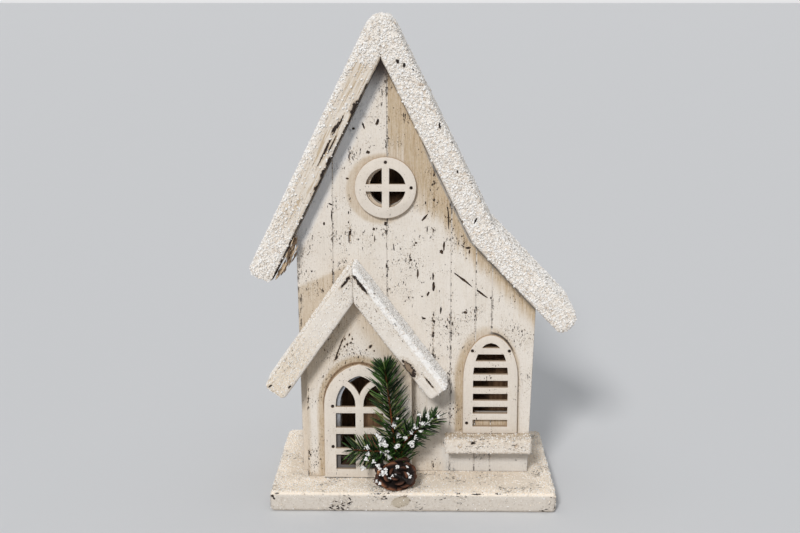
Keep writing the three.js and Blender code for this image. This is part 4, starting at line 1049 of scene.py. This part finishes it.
# Where snow caught on the sprig and the cone: X, Z and breadth, as the camera sees them on the
# upright plane Y = TUFT_PLANE; its line of sight falls by SIGHT_FALL to the back
TUFT_PLANE = -51
SIGHT_FALL = 0.385
SPRIG_TUFTS = (
    (-14.3, 60.6, 4.6), (-11.5, 65.3, 2.2), (-26.6, 52.7, 3.0), (-24.3, 50.2, 5.0), (-21.8, 46.2, 6.4),
    (-20.1, 38.6, 5.6), (-23.4, 38.9, 3.0), (-17.4, 35.4, 4.0), (-33.7, 43.0, 4.2), (-32.9, 37.8, 3.6),
    (-33.9, 33.9, 3.4), (-28.9, 32.0, 3.0), (-36.5, 27.0, 3.6), (-40.1, 33.5, 2.4), (-25.4, 28.8, 3.4),
    (-10.6, 52.3, 4.2), (-6.1, 50.1, 3.6), (-12.2, 44.1, 4.6), (-1.2, 45.9, 5.0), (2.1, 50.6, 3.6),
    (-1.4, 55.0, 4.0), (1.6, 58.8, 3.8), (5.7, 55.8, 3.0), (7.0, 61.2, 4.6), (11.2, 61.8, 3.2),
    (10.2, 68.0, 3.8), (12.4, 64.8, 3.6), (4.7, 68.0, 2.8), (18.3, 67.0, 2.8),
)
CONE_TUFTS = (
    (-21.0, 23.2, 6.6), (-24.0, 26.2, 2.8), (-11.2, 27.8, 3.4), (-12.4, 22.0, 3.0), (-15.0, 19.8, 3.2),
    (-17.4, 18.4, 2.4), (-3.6, 22.4, 2.2), (-1.9, 20.2, 2.4), (-23.8, 15.2, 2.6), (-26.8, 16.8, 2.4),
    (-4.2, 27.6, 2.0),
)


def needle_shape():
    """One needle along +Z, a unit long, flat-sided, thickest at a third and pointed."""
    def girth(z):
        if z > 0.99:
            return 0.15
        return 0.6 + 1.15 * z if z < 0.35 else 1.0 - 0.5 * (z - 0.35) ** 1.4

    bpy.ops.mesh.primitive_cylinder_add(
        vertices=5, radius=0.5, depth=1, end_fill_type="TRIFAN", location=(0, 0, 0.5),
    )
    needle = bpy.context.object
    bpy.ops.object.mode_set(mode="EDIT")
    for cut in (0.35, 0.75):
        bpy.ops.mesh.select_all(action="SELECT")
        bpy.ops.mesh.bisect(plane_co=(0, 0, cut), plane_no=(0, 0, 1))
    bpy.ops.object.mode_set(mode="OBJECT")
    bpy.ops.object.transform_apply(location=True)
    for corner in needle.data.vertices:
        width = girth(corner.co.z)
        corner.co.x *= width
        corner.co.y *= width * 0.75
    return shape_of(needle)


def smooth_route(points, count):
    """A Catmull-Rom curve through points, with its tangents."""
    knots = [2 * points[0] - points[1]] + list(points) + [2 * points[-1] - points[-2]]
    places = []
    for i in range(count + 1):
        t = i / count * (len(points) - 1)
        k = min(int(t), len(points) - 2)
        s = t - k
        a, b, c, d = knots[k:k + 4]
        bowed = (2 * b) + (c - a) * s + (2 * a - 5 * b + 4 * c - d) * s ** 2
        places.append(0.5 * (bowed + (3 * b - a - 3 * c + d) * s ** 3))
    ahead = places[1:] + places[-1:]
    behind = places[:1] + places[:-1]
    return places, [(after - before).normalized() for after, before in zip(ahead, behind)]


def stem_tube(places, radius):
    bpy.ops.curve.primitive_bezier_curve_add()
    line = bpy.context.object
    line.data.splines.clear()
    spline = line.data.splines.new("POLY")
    spline.points.add(len(places) - 1)
    for i, (point, place) in enumerate(zip(spline.points, places)):
        point.co = (*place, 1)
        point.radius = 1.15 - 0.55 * i / len(places)
    line.data.dimensions = "3D"
    line.data.bevel_depth = radius
    line.data.bevel_resolution = 2
    line.data.use_fill_caps = True
    take_up(line)
    bpy.ops.object.convert(target="MESH")
    return shape_of(bpy.context.object)


def stands_in_wood(place):
    """Whether a place is inside the walls, the base, the sill or the porch roof, or nearly."""
    x, y, z = place / MM
    on_door = abs(x - DOOR.middle) < DOOR.half + 0.6
    on_porch = PORCH_LEFT_EDGE - 0.4 < x < -0.6
    face = DOOR_FACE if on_door else PORCH_FACE if on_porch else FRONT_WALL_FACE
    if y > face - 0.5 or z < BASE_TOP + 0.6:
        return True
    in_sill = x > 23 and y > -43.5 and z < 47
    lift = max(above_slope(x, z, PORCH_LEFT), above_slope(x, z, PORCH_RIGHT))
    return in_sill or (lift > -0.8 and y > -55.5 and z > 76)


def clear_direction(root, direction, length):
    """Turns a needle to the front until it stands clear of the wood; None where it can't."""
    tries = 6
    for attempt in range(tries):
        tip = root + direction * length
        if not any(stands_in_wood(root.lerp(tip, s)) for s in (0.3, 0.5, 0.7, 0.85, 1)):
            return direction
        direction = (direction + Vector((0, -0.28, 0))).normalized()
    return None


def branch_shapes(branch, needle, needle_faces, chance):
    """A stem and its needles, each as corners, faces and a tone."""
    knots = []
    for aside, up, out in branch.route:
        x = SPRIG_X + branch.foot + branch.lean * aside
        knots.append(Vector((x, STEM_BACK - branch.reach * out, STEM_FOOT + branch.rise * up)) * MM)
    places, tangents = smooth_route(knots, STEM_STEPS)
    shapes = [(*stem_tube(places[::3], STEM_RADIUS * MM), -1)]
    for i in range(branch.needles):
        share = branch.bare + (1 - branch.bare) * (i + 0.5) / branch.needles
        at = min(STEM_STEPS - 1, int(share * STEM_STEPS))
        stem = tangents[at]
        spin = i * GOLDEN_ANGLE + chance.uniform(-0.2, 0.2)
        across = Vector((0, -1, 0)).cross(stem).normalized()
        across.rotate(Quaternion(stem, spin - 0.12 * math.sin(2 * spin)))
        tilt = math.radians(branch.slant + chance.uniform(-8, 8)) * (1 - branch.closing * share ** 6)
        length = branch.length * chance.uniform(0.88, 1.08) * (1 - branch.taper * share ** 4) * MM
        direction = (stem * math.cos(tilt) + across * math.sin(tilt)).normalized()
        direction = clear_direction(places[at], direction, length)
        if direction is None:
            continue
        bent = needle * (NEEDLE_GIRTH * MM, NEEDLE_GIRTH * MM, length)
        bend = needle[:, 2] ** 2 * length
        bent[:, 0] += bend * chance.uniform(-0.05, 0.05)
        bent[:, 1] += bend * chance.uniform(-0.02, 0.06)
        turn = direction.to_track_quat("Z", "Y").to_matrix().to_4x4()
        matrix = Matrix.Translation(places[at]) @ turn @ Matrix.Rotation(chance.uniform(0, 6.3), 4, "Z")
        shapes.append((moved(bent, matrix), needle_faces, chance.random()))
    return shapes


def grow_sprig():
    """The three branches. Returns all their corners, for the snow that they catch."""
    needle, needle_faces = needle_shape()
    chance = random.Random(7)
    green = needle_finish()
    corners = []
    for name, branch in BRANCHES.items():
        shapes = branch_shapes(branch, needle, needle_faces, chance)
        corners.extend(shape[0] for shape in shapes)
        finish_piece(gathered(name + "_needles", shapes), green, "pine_green", name)
    return np.concatenate(corners)


def needle_finish():
    """Dark green needles, some yellower and some nearly black, and brown bark where the tone is -1."""
    finish = Finish("pine_needles", 0.42)
    tone = finish.attribute("tone")
    green = finish.node("ValToRGB", {"stops": (
        (0.0, tint(8, 18, 6)), (0.35, tint(22, 45, 14)), (0.7, tint(46, 80, 28)), (0.92, tint(88, 120, 54)),
        (1.0, tint(152, 152, 102)),
    )}, {"Fac": tone})
    patches = finish.noise(6, 2, 0.5, 3.3)
    colour = finish.mix(green, tint(11, 25, 8), patches.rise(0.45, 0.7) * 0.65)
    ridges = finish.noise((1.2, 1.2, 3), 3, 0.6, 9.0).rise(0.35, 0.65)
    bark = finish.mix(tint(70, 38, 22), tint(124, 70, 40), ridges)
    finish.colour(finish.mix(colour, bark, tone.rise(-0.4, -0.6)))
    finish.relief(finish.noise((0.4, 0.4, 3), 2, 0.5, 6.6) * 0.12)
    return finish.material


def caught_snow(name, tufts, corners, seed):
    """Clumps of snow on the front of what carries them, each at its place as the camera sees it."""
    flat = kdtree.KDTree(len(corners))
    for i, (x, y, z) in enumerate(corners):
        flat.insert((x, 0, z + (y - TUFT_PLANE * MM) * SIGHT_FALL), i)
    flat.balance()
    bpy.ops.mesh.primitive_ico_sphere_add(subdivisions=1, radius=1)
    lump, lump_faces = shape_of(bpy.context.object)
    chance = random.Random(seed)
    shapes = []
    for x, z, breadth in tufts:
        near = flat.find_range((x * MM, 0, z * MM), (breadth / 2 + 0.6) * MM)
        if not near:
            continue
        depths = sorted(corners[i][1] for _, i, _ in near)
        depth = depths[len(depths) // 8]
        centre = Vector((x * MM, depth, z * MM - (depth - TUFT_PLANE * MM) * SIGHT_FALL))
        for number in range(5 + int(1.1 * breadth ** 2)):
            turn = chance.uniform(0, 2 * math.pi)
            out = breadth / 2 * math.sqrt(chance.random()) * (0.85 + 0.3 * math.sin(3 * turn + x))
            towards = chance.uniform(-0.5, 0.3) * breadth / 2
            spot = centre + Vector((out * math.cos(turn), towards, out * math.sin(turn))) * MM
            radius = chance.uniform(0.5, 0.9) * (0.62 + 0.07 * breadth)
            size = [radius * chance.uniform(0.8, 1.2) * MM for axis in range(3)]
            shapes.append((lump * size + np.array(spot), lump_faces, chance.random()))
    piece = gathered(name, shapes)
    piece.data.materials.append(snow_finish(name + "_finish"))
    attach(piece, "root")


def snow_finish(name):
    finish = Finish(name, 0.85)
    tone = finish.attribute("tone")
    finish.colour(finish.mix(tint(222, 218, 214), tint(246, 245, 243), tone.rise(0.1, 0.7)))
    finish.relief(finish.noise(0.5, 2, 0.6, 2.2) * 0.2)
    return finish.material


def cone_scale_shape():
    """One woody scale with a thick blunt end, a unit long: its root at 0, its tip at +Y."""
    bpy.ops.mesh.primitive_uv_sphere_add(segments=14, ring_count=14, radius=1, rotation=(math.pi / 2, 0, 0))
    bpy.ops.object.transform_apply(rotation=True)
    corners, faces = shape_of(bpy.context.object)
    x, y, z = corners.T
    along = (y + 1) / 2
    around = np.maximum(np.sqrt(x * x + z * z), 1e-6)
    blunt = np.sqrt(np.clip(1 - np.clip((along - 0.62) / 0.38, 0, 1) ** 2.6, 0, 1))
    lip = np.sqrt(np.clip(1 - np.clip((along - 0.76) / 0.24, 0, 1) ** 2.4, 0, 1))
    root = np.clip(along / 0.05, 0, 1)
    width = 0.5 * (0.3 + 0.7 * blended(along, 0.05, 0.72)) * blunt * root
    thick = 0.5 * (0.3 + 0.7 * blended(along, 0.45, 0.84)) * lip * root
    closed = np.where(around > 1e-5, 1, 0)
    return np.stack([x / around * width * closed, along, z / around * thick * closed], 1), faces


def grow_cone():
    """Scales that spread from the cone's core like a flower, their thick ends on a flattened ball."""
    scale, scale_faces = cone_scale_shape()
    chance = random.Random(3)
    half_breadth, half_height = 15, 9.5
    bpy.ops.mesh.primitive_uv_sphere_add(segments=14, ring_count=10, radius=1)
    core, core_faces = shape_of(bpy.context.object)
    core = core * (half_breadth * 0.5, half_breadth * 0.5, half_height * 0.55)
    # The core takes the darkest tone: painted shade between the scales.
    shapes = [(core, core_faces, 0.0)]
    count = 28
    for i in range(count):
        share = (i + 0.5) / count
        open_out = math.acos(1 - 1.32 * share)
        end = Vector((0, half_breadth * math.sin(open_out), half_height * math.cos(open_out)))
        slant = math.atan2(end.y, end.z) + math.radians(6 + chance.uniform(-13, 13))
        length = (8.5 + 3.5 * share) * chance.uniform(0.95, 1.08)
        breadth = (6.2 + 3.4 * share ** 0.7) * chance.uniform(0.85, 1.15)
        thickness = (2.2 + 1.1 * share ** 0.7) * chance.uniform(0.9, 1.1)
        x, along, z = scale.T
        x = x * breadth
        hollowed = z * thickness + 0.10 * length * along ** 2.5 + 0.05 * x ** 2 * along
        bent = np.stack([x, along * length, hollowed], 1)
        reach = chance.uniform(0.86 - 0.06 * share, 1.06 + 0.08 * share)
        root = end * reach - Vector((0, math.sin(slant), math.cos(slant))) * length
        tilt = Matrix.Rotation(math.pi / 2 - slant, 4, "X")
        roll = Matrix.Rotation(math.radians(chance.uniform(-27, 27)), 4, "Y")
        spin = Matrix.Rotation(i * GOLDEN_ANGLE, 4, "Z")
        # Darker towards each scale's root: partly the wood's own colour, partly painted shade between the
        # scales.
        tone = 0.06 + blended(along, 0.6, 0.97) * chance.uniform(0.22, 0.94)
        shapes.append((moved(bent, spin @ Matrix.Translation(root) @ tilt @ roll), scale_faces, tone))

    facing = Vector((0.12, -1, 0.5)).normalized().to_track_quat("Z", "Y").to_matrix().to_4x4()
    shapes = [(moved(corners, facing), faces, tone) for corners, faces, tone in shapes]
    lows = np.min([shape[0].min(0) for shape in shapes], 0)
    highs = np.max([shape[0].max(0) for shape in shapes], 0)
    low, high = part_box("pine_cone")
    fit = np.array(high - low) / (highs - lows) * (1.02, 1.02, 1.05)
    middle = (lows + highs) / 2
    centre = np.array(low + high) / 2 + np.array((0, -1.8, -0.9)) * MM
    placed = [((corners - middle) * fit + centre, faces, tone) for corners, faces, tone in shapes]
    finish_piece(gathered("pine_cone_scales", placed), cone_finish(), "cone_brown", "pine_cone")
    return np.concatenate([shape[0] for shape in placed])


def cone_finish():
    finish = Finish("cone_scales", 0.6)
    # The darkest browns stand partly for painted shade between the scales.
    warm = finish.node("ValToRGB", {"stops": (
        (0.0, tint(12, 7, 5)), (0.25, tint(28, 15, 9)), (0.55, tint(66, 37, 22)), (0.8, tint(104, 62, 38)),
        (1.0, tint(150, 102, 68)),
    )}, {"Fac": finish.attribute("tone")})
    fibre = finish.noise(0.8, 3, 0.6, 5.0)
    finish.colour(finish.mix(warm, tint(40, 22, 14), fibre.rise(0.5, 0.72) * 0.6))
    finish.relief(fibre * 0.4)
    return finish.material


set_up_studio()
dress_main_roof()
torn_edge()
dress_porch_roof()
dress_base()
dress_sill()
dress_plates()
dress_front_wall()
dress_cad_nodes()
caught_snow("sprig_snow", SPRIG_TUFTS, grow_sprig(), 5)
caught_snow("cone_snow", CONE_TUFTS, grow_cone(), 6)
